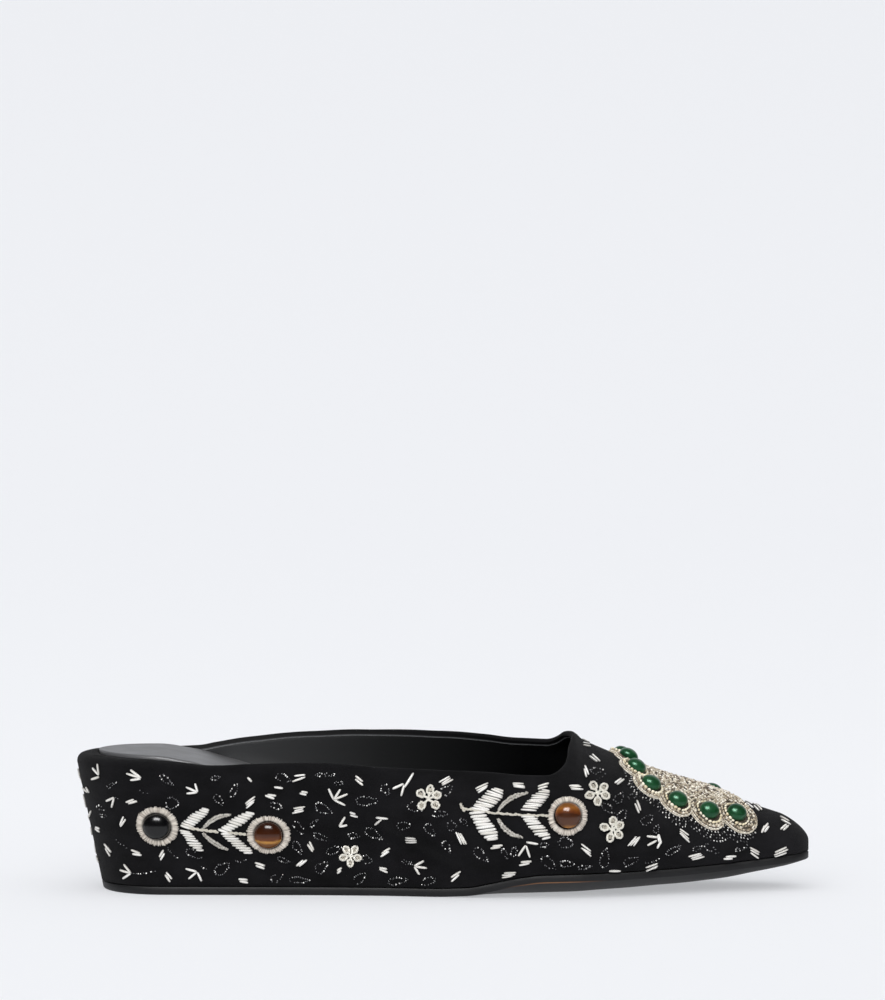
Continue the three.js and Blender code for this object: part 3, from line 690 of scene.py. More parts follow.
toneRows = dict(  # colours of each thread and bead, from its darkest shade to its palest
    metalThread=[(0.0, (0.44, 0.41, 0.36)), (0.5, (0.83, 0.80, 0.74)), (1.0, (1.0, 0.98, 0.94))],
    ringThread=[(0.0, (0.34, 0.29, 0.24)), (0.5, (0.66, 0.60, 0.53)), (1.0, (0.92, 0.86, 0.77))],
    metalCord=[(0.0, (0.28, 0.25, 0.20)), (0.5, (0.74, 0.69, 0.59)), (1.0, (1.0, 0.97, 0.87))],
    champagne=[(0.0, (0.060, 0.042, 0.026)), (0.3, (0.30, 0.23, 0.15)), (0.65, (0.61, 0.53, 0.40)),
               (1.0, (0.95, 0.90, 0.80))],
    cream=[(0.0, (0.60, 0.47, 0.25)), (0.5, (0.88, 0.77, 0.54)), (1.0, (1.0, 0.94, 0.78))],
    gunmetal=[(0.0, (0.03, 0.03, 0.032)), (0.6, (0.16, 0.16, 0.165)), (1.0, (0.80, 0.79, 0.77))],
)
finishes = dict(
    suede=suedeFinish(),
    insole=leatherFinish("insoleLeather", (0.088, 0.088, 0.091), (0.118, 0.118, 0.123), 0.42, grain=1300),
    metalThread=threadFinish("coiledMetalThread", toneRows["metalThread"], 0.34, 0.08, ribs=9, ribDepth=0.35,
                             sideShade=0.3),
    ringThread=threadFinish("ringThread", toneRows["ringThread"], 0.5, 0.0, ribs=2, ribDepth=0.1,
                            sideShade=0.4, innerShade=0.36),
    metalCord=threadFinish("coiledMetalCord", toneRows["metalCord"], 0.34, 0.08, ribs=2.4, ribDepth=0.6,
                           ribSource="run"),
    plaqueBead=beadFinish("champagneBeads", toneRows["champagne"], 0.3, 0.12),
    bezelBead=beadFinish("creamBeads", toneRows["cream"], 0.3, 0.05),
    seedBead=beadFinish("gunmetalSeeds", toneRows["gunmetal"], 0.22, 0.4),
)
print("finishes made")

# Upper: suede outside, leather inside, one closed skin

upperSkin = dict(
    heelSteps=46, collarSteps=150, cornerSteps=14, throatSteps=16, vampSteps=54, toeSteps=26,
    heelEnd=27.0, toeStart=251.0, bottomCorner=179.0, bottomThroat=198.0,
    rowsLow=26, rowsHigh=56, rowsEase=1.5, insideLow=9, insideHigh=40, insideEase=2.2,
    creaseSoftening=8, crispRows=20, throatRound=0.9,  # rows at the rim that stay crisp, rounding of its edge
    suedeInside=1.4, liningStep=0.3, liningEdge=0.3, glowFrom=-0.075, glowTo=0.03,
)


def endSteps(size):  # stations of the rounded heel and toe, close where the plan turns
    heelTurn = np.linspace(0, math.pi / 2, size["heelSteps"] + 1)
    toeTurn = np.linspace(math.pi / 2, 0, size["toeSteps"] + 1)
    heel = size["heelEnd"] * (1 - np.cos(heelTurn))
    return heel, lastSize["length"] - (lastSize["length"] - size["toeStart"]) * (1 - np.cos(toeTurn))


def upperStations(side):  # place on the sole, stretch of the rim and share of that stretch
    size = upperSkin
    i = sideIndex(side)
    cornerX = lastSize["throatSide"][i] - lastSize["cornerLength"][i]
    heel, toe = endSteps(size)
    stretches = [
        heel,
        np.linspace(size["heelEnd"], cornerX, size["collarSteps"] + 1),
        np.linspace(cornerX, size["bottomCorner"], size["cornerSteps"] + 1),
        np.linspace(size["bottomCorner"], size["bottomThroat"], size["throatSteps"] + 1),
        np.linspace(size["bottomThroat"], size["toeStart"], size["vampSteps"] + 1),
        toe,
    ]
    made = []
    for index, stretch in enumerate(stretches):
        shares = np.linspace(0, 1, len(stretch))
        made += [(x, index, share) for x, share in zip(stretch, shares)][1 if index else 0:]
    return made


def topOfWall(side, x, stretch, share):
    i = sideIndex(side)
    throatX, corner = lastSize["throatSide"][i], lastSize["cornerLength"][i]
    cornerX = throatX - corner
    base, lift = collarHeight[i](cornerX), lastSize["cornerRise"][i]
    if stretch <= 1:
        return x, float(riseAt(side, x, collarHeight[i](x)))
    if stretch == 2:
        end = math.radians(lastSize["cornerTurn"][i])
        topX = cornerX + corner * math.sin(end * share) / math.sin(end)
        height = base + lift * (1 - math.cos(end * share)) / (1 - math.cos(end))
        return topX, float(riseAt(side, topX, height))
    if stretch == 3:
        start = float(riseAt(side, throatX, base + lift))
        forward = 1 - (1 - share) ** lastSize["throatBow"]
        return throatX + (lastSize["throatX"] - throatX) * forward, start + (3 - start) * share
    if stretch == 4:
        return lastSize["throatX"] + (upperSkin["toeStart"] - lastSize["throatX"]) * share, 3.0
    return x, 3.0


def innerInset(side, x, z):
    top = collarHeight[sideIndex(side)](x)
    turned = eased((z - top + lastSize["lipDepth"]) / lastSize["lipTurn"])
    lip = np.where(x < lastSize["throatX"], turned, 0)
    return lastSize["wall"] + (lipWidth(x) - lastSize["wall"]) * lip


def rimInset(radius, below):
    rest = np.clip(1 - below / radius, 0, 1)
    return radius * (1 - np.sqrt(1 - rest * rest))


def softened(grid, rounds):  # eases the crease along each station's rows, ends held
    for _ in range(rounds):
        grid[:, 1:-1] = (grid[:, :-2] + 2 * grid[:, 1:-1] + grid[:, 2:]) / 4
    return grid


def fromRim(wall, onRim, rows=40):  # how far each point of the upper rows lies from the rim
    tops = wall[onRim, -1]
    places = np.linspace(0, len(tops) - 1, 8 * len(tops))
    rim = np.stack([np.interp(places, np.arange(len(tops)), tops[:, k]) for k in range(3)], 1)
    away = np.full(wall.shape[:2], 99.0)
    for i, station in enumerate(wall):
        away[i, -rows:] = np.linalg.norm(station[-rows:, None] - rim[None], axis=2).min(1)
    return away


def sideRows(x, topX, topRise, low, high, ease):  # stations and rises of the rows up one side
    lower = np.linspace(0, 1, low + 1)[:-1]
    upper = 1 - (1 - np.linspace(0, 1, high + 1)) ** ease
    rise = np.hstack([np.broadcast_to(lower, (len(x), low)), 1 + (topRise - 1) * upper])
    return x + (topX - x) * eased(np.append(np.zeros(low), upper)), rise


def upperSide(side):
    size = upperSkin
    stations = upperStations(side)
    tops = [topOfWall(side, *station) for station in stations]
    x = np.array([s[0] for s in stations])[:, None]
    stretch = np.array([s[1] for s in stations])
    topX, topRise = (np.array([t[k] for t in tops])[:, None] for k in (0, 1))
    rowX, rise = sideRows(x, topX, topRise, size["rowsLow"], size["rowsHigh"], size["rowsEase"])
    plain = wallPoint(side, rowX, rise)
    radius = np.where(stretch[:, None] <= 1, rimRound(rowX), size["throatRound"])
    outside = wallPoint(side, rowX, rise, rimInset(radius, fromRim(plain, stretch <= 3)))
    below = slice(None, -size["crispRows"])
    outside[:, below] = softened(outside[:, below].copy(), size["creaseSoftening"])
    inX, inRise = sideRows(x, topX, topRise, size["insideLow"], size["insideHigh"], size["insideEase"])
    inPlain = wallPoint(side, inX, inRise)
    depth = fromRim(inPlain, stretch <= 3, rows=30)
    inset = np.where((stretch <= 1)[:, None], innerInset(side, inX, inPlain[..., 2]), lastSize["wall"])
    lined = eased((depth - size["suedeInside"]) / size["liningEdge"]) * size["liningStep"]
    inside = wallPoint(side, inX, inRise, inset + lined)
    return outside, inside, stretch, depth


def liningFinish():  # suede turned over the edge, a pale band painted on the lining's ledge as a highlight, then smooth leather painted lighter towards the back and darker into the toe as painted light and shade
    size = upperSkin
    material, tree, shader = newFinish(
        "liningLeather", (0.008, 0.0085, 0.009), 0.36, Specular_IOR_Level=0.4)
    deepest = 5.0  # depth at which the ramp ends
    depth = pinRange(tree, readField(tree, "depth"), 0.0, 1.0, start=0.0, end=deepest)
    start, end = size["suedeInside"] / deepest, (size["suedeInside"] + size["liningEdge"]) / deepest
    # the pale edge colour is a painted highlight on the lining's ledge
    suede, edge, bare = (0.0065, 0.0063, 0.007), (0.075, 0.078, 0.082), (1.0, 1.0, 1.0)
    banded = addRamp(tree, depth, [(start - 0.02, suede), (start, edge), (end, edge), (end + 0.02, bare)])
    # painted light and shade: the lining is painted lighter towards the back and near black deep into the
    # toe, and its gloss fades the same way
    along = pinRange(tree, objectAxis(tree, "X"), 0.0, 1.0, start=size["glowFrom"], end=size["glowTo"])
    paintedLightAndShade = addRamp(tree, along, [
        (0.0, (0.044, 0.045, 0.047)), (0.5, (0.018, 0.0185, 0.019)), (1.0, (0.0018, 0.0019, 0.0022))])
    tree.links.new(pinRange(tree, along, 0.45, 0.05), shader.inputs["Specular IOR Level"])
    lined = addNode(tree, "ShaderNodeMath", operation="GREATER_THAN")
    lined.inputs[1].default_value = end + 0.01
    tree.links.new(depth, lined.inputs[0])
    colour = mixColours(tree, lined.outputs[0], banded, paintedLightAndShade, "MULTIPLY")
    tree.links.new(colour, shader.inputs["Base Color"])
    tree.links.new(pinRange(tree, lined.outputs[0], 0.85, 0.36), shader.inputs["Roughness"])
    addBump(tree, shader, objectNoise(tree, 900, 3), 0.1, 0.0003)
    return material


def makeUpper():
    points, faces, slots, depths = [], [], [], []
    for side in (outer, inner):
        outside, inside, stretch, depth = upperSide(side)
        count, rows = outside.shape[:2]
        inRows = inside.shape[1]
        start = sum(len(p) for p in points)
        inStart = start + count * rows
        points += [outside.reshape(-1, 3), inside.reshape(-1, 3)]
        skin = sheetFaces(count, rows, start, flipped=side > 0)
        lining = sheetFaces(count, inRows, inStart, flipped=side < 0)
        i = np.arange(count - 1)
        foot, inFoot = start + i * rows, inStart + i * inRows
        bottom = np.stack([inFoot, inFoot + inRows, foot + rows, foot], 1)
        rimmed = stretch[1:] <= 3
        rim, inRim = foot[rimmed] + rows - 1, inFoot[rimmed] + inRows - 1
        top = np.stack([rim, rim + rows, inRim + inRows, inRim], 1)
        if side > 0:
            bottom, top = bottom[:, ::-1], top[:, ::-1]
        depths += [np.zeros(count * rows), depth.ravel()]
        faces += [skin, lining, bottom, top]
        slots += [np.zeros(len(skin)), np.ones(len(lining)), np.zeros(len(bottom)), np.zeros(len(top))]
    piece = makeMesh(
        "upper_suede", toFrame(np.vstack(points)), np.vstack(faces), [finishes["suede"], liningFinish()],
        np.concatenate(slots), {"depth": np.concatenate(depths)})
    return ridePiece(piece, "suede", "upper")


makeUpper()

# Insole

insoleSkin = dict(
    heelSteps=30, middleSteps=120, toeSteps=24, heelEnd=27.0, toeStart=251.0, across=40, edgeRound=1.4,
)


def lengthSteps(size):
    heel, toe = endSteps(size)
    middle = np.linspace(size["heelEnd"], size["toeStart"], size["middleSteps"] + 1)
    return np.concatenate([heel, middle[1:], toe[1:]])


def insoleTop(x, across):
    dish = np.maximum(0, soleEdge(x) - soleMiddle(x))
    return footTop(x) + dish * across * across


def makeInsole():
    size = insoleSkin
    x = lengthSteps(size)[:, None]
    lip = np.where(x < lastSize["throatX"], lipWidth(x), lastSize["wall"])
    across = np.sin(np.linspace(-math.pi / 2, math.pi / 2, size["across"] + 1))[None, :]
    halves = []
    for side in (outer, inner):
        level = insoleTop(x, 1.0) - lastSize["insoleThick"]
        inset = innerInset(side, x, insoleTop(x, 1.0)) + lastSize["gap"]
        halves.append(wallProfile(side, x, riseAt(side, x, level), 0.0)[1] - inset)
    half = np.where(across < 0, halves[0], halves[1]) * planRound(x)
    fromEdge = (1 - np.abs(across)) * half
    top = insoleTop(x, across) - rimInset(size["edgeRound"], fromEdge)
    under = insoleTop(x, across) - lastSize["insoleThick"]
    y = across * half
    loops = [np.stack([alongShoe(x, z, lip + lastSize["gap"]), wide, z], -1)
             for z, wide in ((under, y), (top[:, ::-1], y[:, ::-1]))]
    loop = np.concatenate(loops, 1)
    faces = sheetFaces(*loop.shape[:2], flipped=True, closed=True)
    piece = makeMesh("insole_leather", toFrame(loop.reshape(-1, 3)), faces, [finishes["insole"]])
    return ridePiece(piece, "insole_leather", "insole")


makeInsole()

# Outsole

soleSkin = dict(
    heelSteps=34, middleSteps=150, toeSteps=30, heelEnd=27.0, toeStart=251.0, across=30,
    bevel=0.6, topBevel=0.35, bevelLines=[(0.16, 0.34), (0.34, 0.16)],  # rise and inset of each line
    bareFrom=(150.0, 168.0), bareTo=(172.0, 190.0),  # where the tan of the bare edge comes and goes
)


def soleFinish():
    material, tree, shader = newFinish(
        "soleEdgePaint", (0.012, 0.012, 0.013), 0.55, Specular_IOR_Level=0.25)
    painted = [(0.3, (0.009, 0.009, 0.0098)), (0.75, (0.015, 0.015, 0.016))]
    tan = [(0.3, (0.17, 0.075, 0.035)), (0.75, (0.27, 0.13, 0.06))]
    colour = mixColours(tree, readField(tree, "bareEdge"), addRamp(tree, objectNoise(tree, 60, 3), painted),
                        addRamp(tree, objectNoise(tree, 90, 4), tan))
    tree.links.new(colour, shader.inputs["Base Color"])
    layers = addBump(tree, shader, objectNoise(tree, 300, 3, 0.6, (0.3, 0.3, 5.0)), 0.12, 0.0003)
    addBump(tree, shader, objectNoise(tree, 1400, 2), 0.1, 0.0002, layers)
    return material


def soleBottom(x, across):
    dish = soleEdge(x) - soleMiddle(x) + lastSize["treadFlat"]
    drop = dish * (1 - np.abs(across) ** lastSize["treadPower"]) * planRound(x)
    return np.maximum(0, soleEdge(x) - drop)


def makeOutsole():
    size = soleSkin
    x = lengthSteps(size)[:, None]
    across = np.sin(np.linspace(-math.pi / 2, math.pi / 2, size["across"] + 1))[None, :]

    def line(shares, above, narrower):
        half = np.where(shares < 0, soleWidth[0](x), soleWidth[1](x)) - narrower
        z = soleBottom(x, shares) + above
        return np.stack([alongShoe(x, z, narrower), shares * half * planRound(x), z], -1)

    right, left = np.ones((1, 1)), -np.ones((1, 1))
    edge = size["bevelLines"] + [(size["bevel"], 0.0)]
    lines = [line(across, 0.0, size["bevel"])]
    lines += [line(right, *step) for step in edge]
    lines.append(line(right, lastSize["soleThick"] - size["topBevel"], 0.0))
    lines.append(line(across[:, ::-1], lastSize["soleThick"], size["topBevel"]))
    lines.append(line(left, lastSize["soleThick"] - size["topBevel"], 0.0))
    lines += [line(left, *step) for step in edge[::-1]]
    loop = np.concatenate(lines, 1)
    count, rows = loop.shape[:2]
    bareRows = np.zeros(rows)
    bareRows[[across.size, across.size + 1, rows - 1, rows - 2]] = 1
    bare = between(x, size["bareFrom"], size["bareTo"])
    faces = sheetFaces(count, rows, flipped=True, closed=True)
    piece = makeMesh("outsole_leather", toFrame(loop.reshape(-1, 3)), faces, [soleFinish()],
                     fields={"bareEdge": bare * bareRows[None, :]})
    return ridePiece(piece, "sole_edge", "outsole")


makeOutsole()


def finishWedge():  # the hidden core keeps its solid and gets a cork finish
    material, tree, shader = newFinish("wedgeCork", (0.28, 0.18, 0.10), 0.9)
    mottle(tree, shader, objectNoise(tree, 350, 4, 0.7), (0.16, 0.09, 0.045), (0.36, 0.24, 0.14), 0.35, 0.7)
    addBump(tree, shader, objectNoise(tree, 900, 3), 0.4, 0.0004)
    core = solidNodes["wedge"]
    core.data.materials.clear()
    core.data.materials.append(material)


finishWedge()
print("sole, insole and upper made")

# Plaque on the vamp: a stiffened patch under beadwork, scalloped around its stones

plaqueSize = dict(
    x=214.6, seat=0.35, thickness=1.45, rimThickness=0.75, bedThickness=1.0, lastRise=2.98,
    bodyRadius=16.5, turns=330, rings=26, edgeStray=0.05, bezelIn=0.1, bezelClear=0.5,
    beadSize=0.86, beadLong=(0.95, 1.5), beadPitch=0.88, beadStray=0.1, beadRise=0.5, darkShare=0.2,
    fieldIn=1.2, fieldReach=(38, 46), fieldRow=0.87,  # beads along and across, step of the rows
    fringeRows=4, fringeStart=0.85, fringeStep=0.98, fringeBead=0.54, fringePitch=1.22, fringeGap=0.94,
    fringeStray=0.09, fringeClear=0.93, fringeLift=0.4, fringeShades=(0.15, 0.5, 0.9, 1.0, 1.0),
    fringeFrom=(34.0, 54.0), fringeTo=(128.0, 148.0),  # degrees from the throat
    edgeSpan=(1.1, 0.95, 0.9), bezelSpan=(1.25, 0.9, 1.1), fringeSpan=(1.35, 0.9, 0.9),
)
edgeRows = [  # inset, bead, pitch, height, lowest and highest shade of each round along the edge
    (-0.1, 0.74, 0.58, 0.4, 0.7, 1.0), (0.05, 0.76, 0.6, 0.92, 0.6, 1.0), (0.7, 0.85, 0.8, 1.3, 0.1, 0.9),
]
bezelRows = [  # radius, bead, pitch, lift, stray, lowest and highest shade of each round about a stone
    (4.0, 1.05, 1.2, 0.5, 0.07, 0.3, 1.0), (4.85, 0.82, 0.84, 0.1, 0.16, 0.1, 0.9),
]
lobeRows = [  # side, angle from the throat, distance of the stone, radius of the scallop
    (outer, 10.2, 19.3, 3.8), (outer, 34.2, 19.9, 4.9), (outer, 57.6, 21.4, 5.2),
    (outer, 84.0, 20.8, 5.6), (outer, 114.0, 21.8, 5.9), (outer, 140.0, 24.3, 4.9),
    (inner, 31.0, 24.0, 4.3), (inner, 53.0, 23.3, 5.2), (inner, 75.4, 21.5, 5.5),
    (inner, 101.7, 19.3, 5.6), (inner, 132.1, 16.9, 5.4),
]
toeRows = [  # scallops of the toe end that hold no stone: side, angle, distance, radius
    (outer, 143.4, 24.3, 7.0), (outer, 150.1, 19.0, 6.5), (inner, 142.9, 20.6, 6.9),
    (outer, 180.0, 12.6, 5.0),
]


def lobePlaces(rows):  # signed angle, distance, radius
    return [(math.radians(angle) * side, distance, radius) for side, angle, distance, radius in rows]


lobes, toeLobes = lobePlaces(lobeRows), lobePlaces(toeRows)


def plaqueReach(angle):
    angle = np.asarray(angle, float)
    reach = np.full(angle.shape, plaqueSize["bodyRadius"])
    for lobeAngle, distance, radius in lobes + toeLobes:
        offset = angle - lobeAngle
        sideways = distance * np.sin(offset)
        meets = (np.cos(offset) > 0) & (np.abs(sideways) < radius)
        end = distance * np.cos(offset) + np.sqrt(np.maximum(0, radius**2 - sideways**2))
        reach = np.where(meets, np.maximum(reach, end), reach)
    return reach


def vampPoints(along, across, lift):  # places on the vamp from the plaque's middle, with their facing
    along, across = np.atleast_1d(np.asarray(along, float)), np.atleast_1d(np.asarray(across, float))
    lift = np.broadcast_to(np.asarray(lift, float), along.shape)
    points, facings = np.zeros((len(along), 3)), np.zeros((len(along), 3))
    x = plaqueSize["x"] + along
    for side, mine in ((outer, across < 0), (inner, across >= 0)):
        if mine.any():
            rise = riseAlong(side, x[mine], 3.0, -np.abs(across[mine]))
            points[mine] = wallPoint(side, x[mine], rise, -lift[mine])
            facings[mine] = wallNormal(side, x[mine], np.minimum(rise, plaqueSize["lastRise"]))
    return points, facings


def plaqueTop(share):
    thinner = (plaqueSize["rimThickness"] - plaqueSize["thickness"]) * eased(share)
    return plaqueSize["seat"] + plaqueSize["thickness"] + thinner


def polarOnVamp(angle, distance, lift):
    return vampPoints(-distance * np.cos(angle), distance * np.sin(angle), lift)


def plaqueBaseFinish():
    material, tree, shader = newFinish("plaqueGround", (0.30, 0.25, 0.18), 0.7)
    mottle(tree, shader, objectNoise(tree, 900, 4, 0.7), (0.03, 0.024, 0.018), (0.17, 0.14, 0.10), 0.35, 0.7)
    addBump(tree, shader, objectNoise(tree, 1500, 3), 0.5, 0.0004)
    return material


def makePlaqueBase():
    size = plaqueSize
    angles = np.linspace(0, 2 * math.pi, size["turns"], endpoint=False)
    wrapped = np.where(angles > math.pi, angles - 2 * math.pi, angles)
    shares = np.linspace(0, 1, size["rings"] + 1)
    distance = plaqueReach(wrapped)[:, None] * shares[None, :]
    angle = np.broadcast_to(wrapped[:, None], distance.shape)
    lift = np.broadcast_to(plaqueTop(shares)[None, :], distance.shape)
    over = polarOnVamp(angle.ravel(), distance.ravel(), lift.ravel())[0]
    under = polarOnVamp(angle.ravel(), distance.ravel(), np.full(distance.size, size["seat"]))[0]
    count, rows = distance.shape
    ringed = np.arange(count)
    after = (ringed + 1) % count

    def disc(start, flipped):
        i, j = np.meshgrid(ringed, np.arange(rows - 1), indexing="ij")
        k = (i + 1) % count
        quads = np.stack([i * rows + j, k * rows + j, k * rows + j + 1, i * rows + j + 1], -1)
        quads = quads.reshape(-1, 4) + start
        return quads[:, ::-1] if flipped else quads

    rim, nextRim = ringed * rows + rows - 1, after * rows + rows - 1
    wall = np.stack([rim, nextRim, count * rows + nextRim, count * rows + rim], 1)
    piece = makeMesh("plaque_base", toFrame(np.vstack([over, under])),
                     np.vstack([disc(0, False), disc(count * rows, True), wall]), [plaqueBaseFinish()])
    return ridePiece(piece, "beadwork", "plaque")


def outlineCurve(inset, pitch):  # the plaque's outline drawn in or out, with even steps
    angles = np.linspace(-math.pi, math.pi, 3000)
    reach = plaqueReach(angles)
    along, across = -reach * np.cos(angles), reach * np.sin(angles)
    line = np.stack([along, across], 1)
    ahead = np.roll(line, -6, 0) - np.roll(line, 6, 0)
    normal = unit(np.stack([ahead[:, 1], -ahead[:, 0]], 1))
    outward = np.sign((normal * line).sum(1, keepdims=True))
    drawn = line - normal * outward * inset
    run = runAlong(drawn)
    count = int(run[-1] / pitch)
    goals = np.arange(count) * run[-1] / count
    return np.stack([np.interp(goals, run, drawn[:, k]) for k in (0, 1)], 1)


def polarOf(line):  # angle from the throat and distance from the plaque's middle
    return np.arctan2(line[:, 1], -line[:, 0]), np.hypot(line[:, 0], line[:, 1])


def sewEdging(edging, rng):
    size = plaqueSize
    for inset, bead, pitch, height, dim, bright in edgeRows:
        line = outlineCurve(inset, pitch)
        line += rng.normal(0, size["edgeStray"], line.shape)
        spot, facing = vampPoints(*line.T, height)
        lying = np.roll(spot, -1, 0) - np.roll(spot, 1, 0)
        shades = rng.uniform(dim, bright, len(line))
        edging.add(spot, facing, lying, np.array(size["edgeSpan"]) * bead, shades)


def sewBezels(bezels, edging, stones, rng):
    size = plaqueSize
    for centre, (turned, away, _) in zip(stones, lobes):
        middle = polarOnVamp(np.array([turned]), np.array([away]), 0.0)[0]
        for row, (radius, bead, pitch, lift, stray, dim, bright) in enumerate(bezelRows):
            count = int(2 * math.pi * radius / pitch)
            turn = np.linspace(0, 2 * math.pi, count, endpoint=False) + rng.uniform(0, 1)
            line = centre + radius * np.stack([np.cos(turn), np.sin(turn)], 1)
            line = line + rng.normal(0, stray, (count, 2))
            angle, distance = polarOf(line)
            line = line[distance < plaqueReach(angle) - size["bezelIn"]]
            spot, facing = vampPoints(*line.T, size["seat"] + size["bedThickness"] + lift)
            lying = np.cross(facing, spot - middle)
            setting = edging if row else bezels
            shades = rng.uniform(dim, bright, len(line))
            setting.add(spot, facing, lying, np.array(size["bezelSpan"]) * bead, shades)


def sewField(beads, stones, rng):  # beads in offset rows over the whole plaque, but for the stones' beds
    size = plaqueSize
    pitch = size["beadPitch"]
    along, across = (range(-reach, reach + 1) for reach in size["fieldReach"])
    places = [(i + 0.5 * (j % 2), j * size["fieldRow"]) for i in along for j in across]
    field = np.array(places) * pitch
    field += rng.normal(0, pitch * size["beadStray"], field.shape)
    angle, distance = polarOf(field)
    fromStone = np.linalg.norm(field[:, None] - stones[None], axis=2).min(1)
    clear = fromStone > bezelRows[-1][0] + size["bezelClear"]
    field = field[(distance < plaqueReach(angle) - size["fieldIn"]) & clear]
    angle, distance = polarOf(field)
    count = len(field)
    lift = plaqueTop(distance / plaqueReach(angle)) + rng.uniform(0.0, size["beadRise"], count)
    spot, facing = vampPoints(*field.T, lift)
    lying = rng.normal(0, 1, spot.shape)
    spans = np.ones((count, 3))
    spans[:, 0] = rng.uniform(*size["beadLong"], count)
    dark = rng.uniform(0, 1, count) < size["darkShare"]
    shades = np.where(dark, rng.uniform(0, 0.3, count), rng.uniform(0.45, 1, count))
    beads.add(spot, facing, lying, spans * size["beadSize"], shades)


def sewFringe(fringe, rng):  # rounds of small beads outside the edge
    size = plaqueSize
    edge, kept = outlineCurve(0.0, 0.2), []
    for row in range(size["fringeRows"]):
        away = size["fringeStart"] + size["fringeStep"] * row
        line = outlineCurve(-away, size["fringePitch"])
        fromEdge = np.linalg.norm(line[:, None] - edge[None], axis=2).min(1)
        line = line[fromEdge > away * size["fringeClear"]]
        turned = np.degrees(np.abs(polarOf(line)[0]))
        line = line[between(turned, size["fringeFrom"], size["fringeTo"]) * size["fringeRows"] > row]
        for place in line + rng.normal(0, size["fringeStray"], line.shape):
            if all(np.hypot(*(place - other)) > size["fringeGap"] for other in kept):
                kept.append(place)
    kept = np.array(kept)
    lift = size["fringeBead"] * size["fringeLift"]
    spot, facing = vampPoints(*kept.T, lift)
    outward = vampPoints(*(kept.T * 1.02), lift)[0] - spot
    shades = rng.choice(size["fringeShades"], len(kept))
    fringe.add(spot, facing, outward, np.array(size["fringeSpan"]) * size["fringeBead"], shades)


def makePlaqueWork():
    rng = np.random.default_rng(11)
    beads, bezels, edging, fringe = Setting(), Setting(), Setting(), Setting()
    stones = np.array([(-d * math.cos(a), d * math.sin(a)) for a, d, _ in lobes])
    sewEdging(edging, rng)
    sewBezels(bezels, edging, stones, rng)
    sewField(beads, stones, rng)
    sewFringe(fringe, rng)
    ridePiece(beads.build("plaque_beads", beadShape, finishes["plaqueBead"], 0.1, 3), "beadwork")
    ridePiece(bezels.build("plaque_bezels", beadShape, finishes["bezelBead"], 0.18, 6), "beadwork")
    ridePiece(edging.build("plaque_edging", beadShape, finishes["plaqueBead"], 0.12, 4), "beadwork")
    ridePiece(fringe.build("plaque_fringe", beadShape, finishes["seedBead"], 0.22, 5), "beadwork")


makePlaqueBase()
makePlaqueWork()
print("plaque made")

# Stones

stoneSize = dict(
    greenRadius=3.55, greenHeight=3.2, greenLift=0.3, sideHeight=4.3, sideLift=0.6,
    turns=40, rings=14, girdle=0.7,
)
sideStones = [  # name, place along the shoe, height on the wall, half sizes of the stone and of its ring
    ("heel_onyx", 27.9, 24.6, (4.95, 4.65), (7.9, 7.1)),
    ("wedge_amber", 68.5, 21.7, (5.05, 4.8), (8.0, 6.8)),
    ("vamp_amber", 174.15, 29.2, (4.65, 4.65), (6.95, 7.1)),
]


def greenFinish():
    material, tree, shader = newFinish(
        "greenStone", (0.006, 0.12, 0.05), 0.28, Specular_Tint=(0.5, 1.0, 0.72, 1.0),
        Coat_Weight=0.06, Coat_Roughness=0.16, Coat_Tint=(0.6, 1.0, 0.8, 1.0),
        Subsurface_Weight=0.35, Subsurface_Radius=(0.0008, 0.002, 0.0012))
    mottle(tree, shader, objectNoise(tree, 220, 4, 0.6), (0.006, 0.040, 0.013), (0.016, 0.085, 0.030))
    return material


def onyxFinish():
    material, tree, shader = newFinish(
        "onyx", (0.004, 0.0045, 0.005), 0.24, Specular_IOR_Level=0.33, Coat_Weight=0.12, Coat_Roughness=0.16)
    mottle(tree, shader, objectNoise(tree, 120, 3), (0.003, 0.003, 0.0035), (0.008, 0.009, 0.009), 0.4, 0.8)
    return material


def amberFinish():
    material, tree, shader = newFinish(
        "tigerEye", (0.16, 0.05, 0.012), 0.18, Specular_IOR_Level=0.3, Coat_Weight=0.12, Coat_Roughness=0.16)
    wobble = addNode(tree, "ShaderNodeMath", operation="MULTIPLY_ADD")
    tree.links.new(objectNoise(tree, 260, 3, 0.6, (0.5, 1.0, 2.0)), wobble.inputs[0])
    wobble.inputs[1].default_value = 0.22
    tree.links.new(readField(tree, "band"), wobble.inputs[2])
    # the tiger-eye's own colour by height on the stone: a golden band below the middle, darker towards the
    # top
    brown = addRamp(tree, wobble.outputs[0], [
        (0.14, (0.11, 0.040, 0.010)), (0.34, (0.17, 0.065, 0.015)), (0.42, (0.48, 0.23, 0.045)),
        (0.49, (0.13, 0.036, 0.008)), (0.68, (0.050, 0.013, 0.004)), (0.98, (0.030, 0.008, 0.003))])
    # the honey stone by height: the bright orange at its bottom rim is a painted glow of light shining
    # through the stone
    honey = addRamp(tree, wobble.outputs[0], [
        (0.12, (0.34, 0.14, 0.032)), (0.22, (0.09, 0.035, 0.016)), (0.54, (0.055, 0.018, 0.008)),
        (0.66, (0.15, 0.04, 0.009)), (0.84, (0.28, 0.10, 0.018)), (1.0, (0.17, 0.065, 0.018))])
    colour = mixColours(tree, readField(tree, "honey"), brown, honey)
    tree.links.new(colour, shader.inputs["Base Color"])
    return material


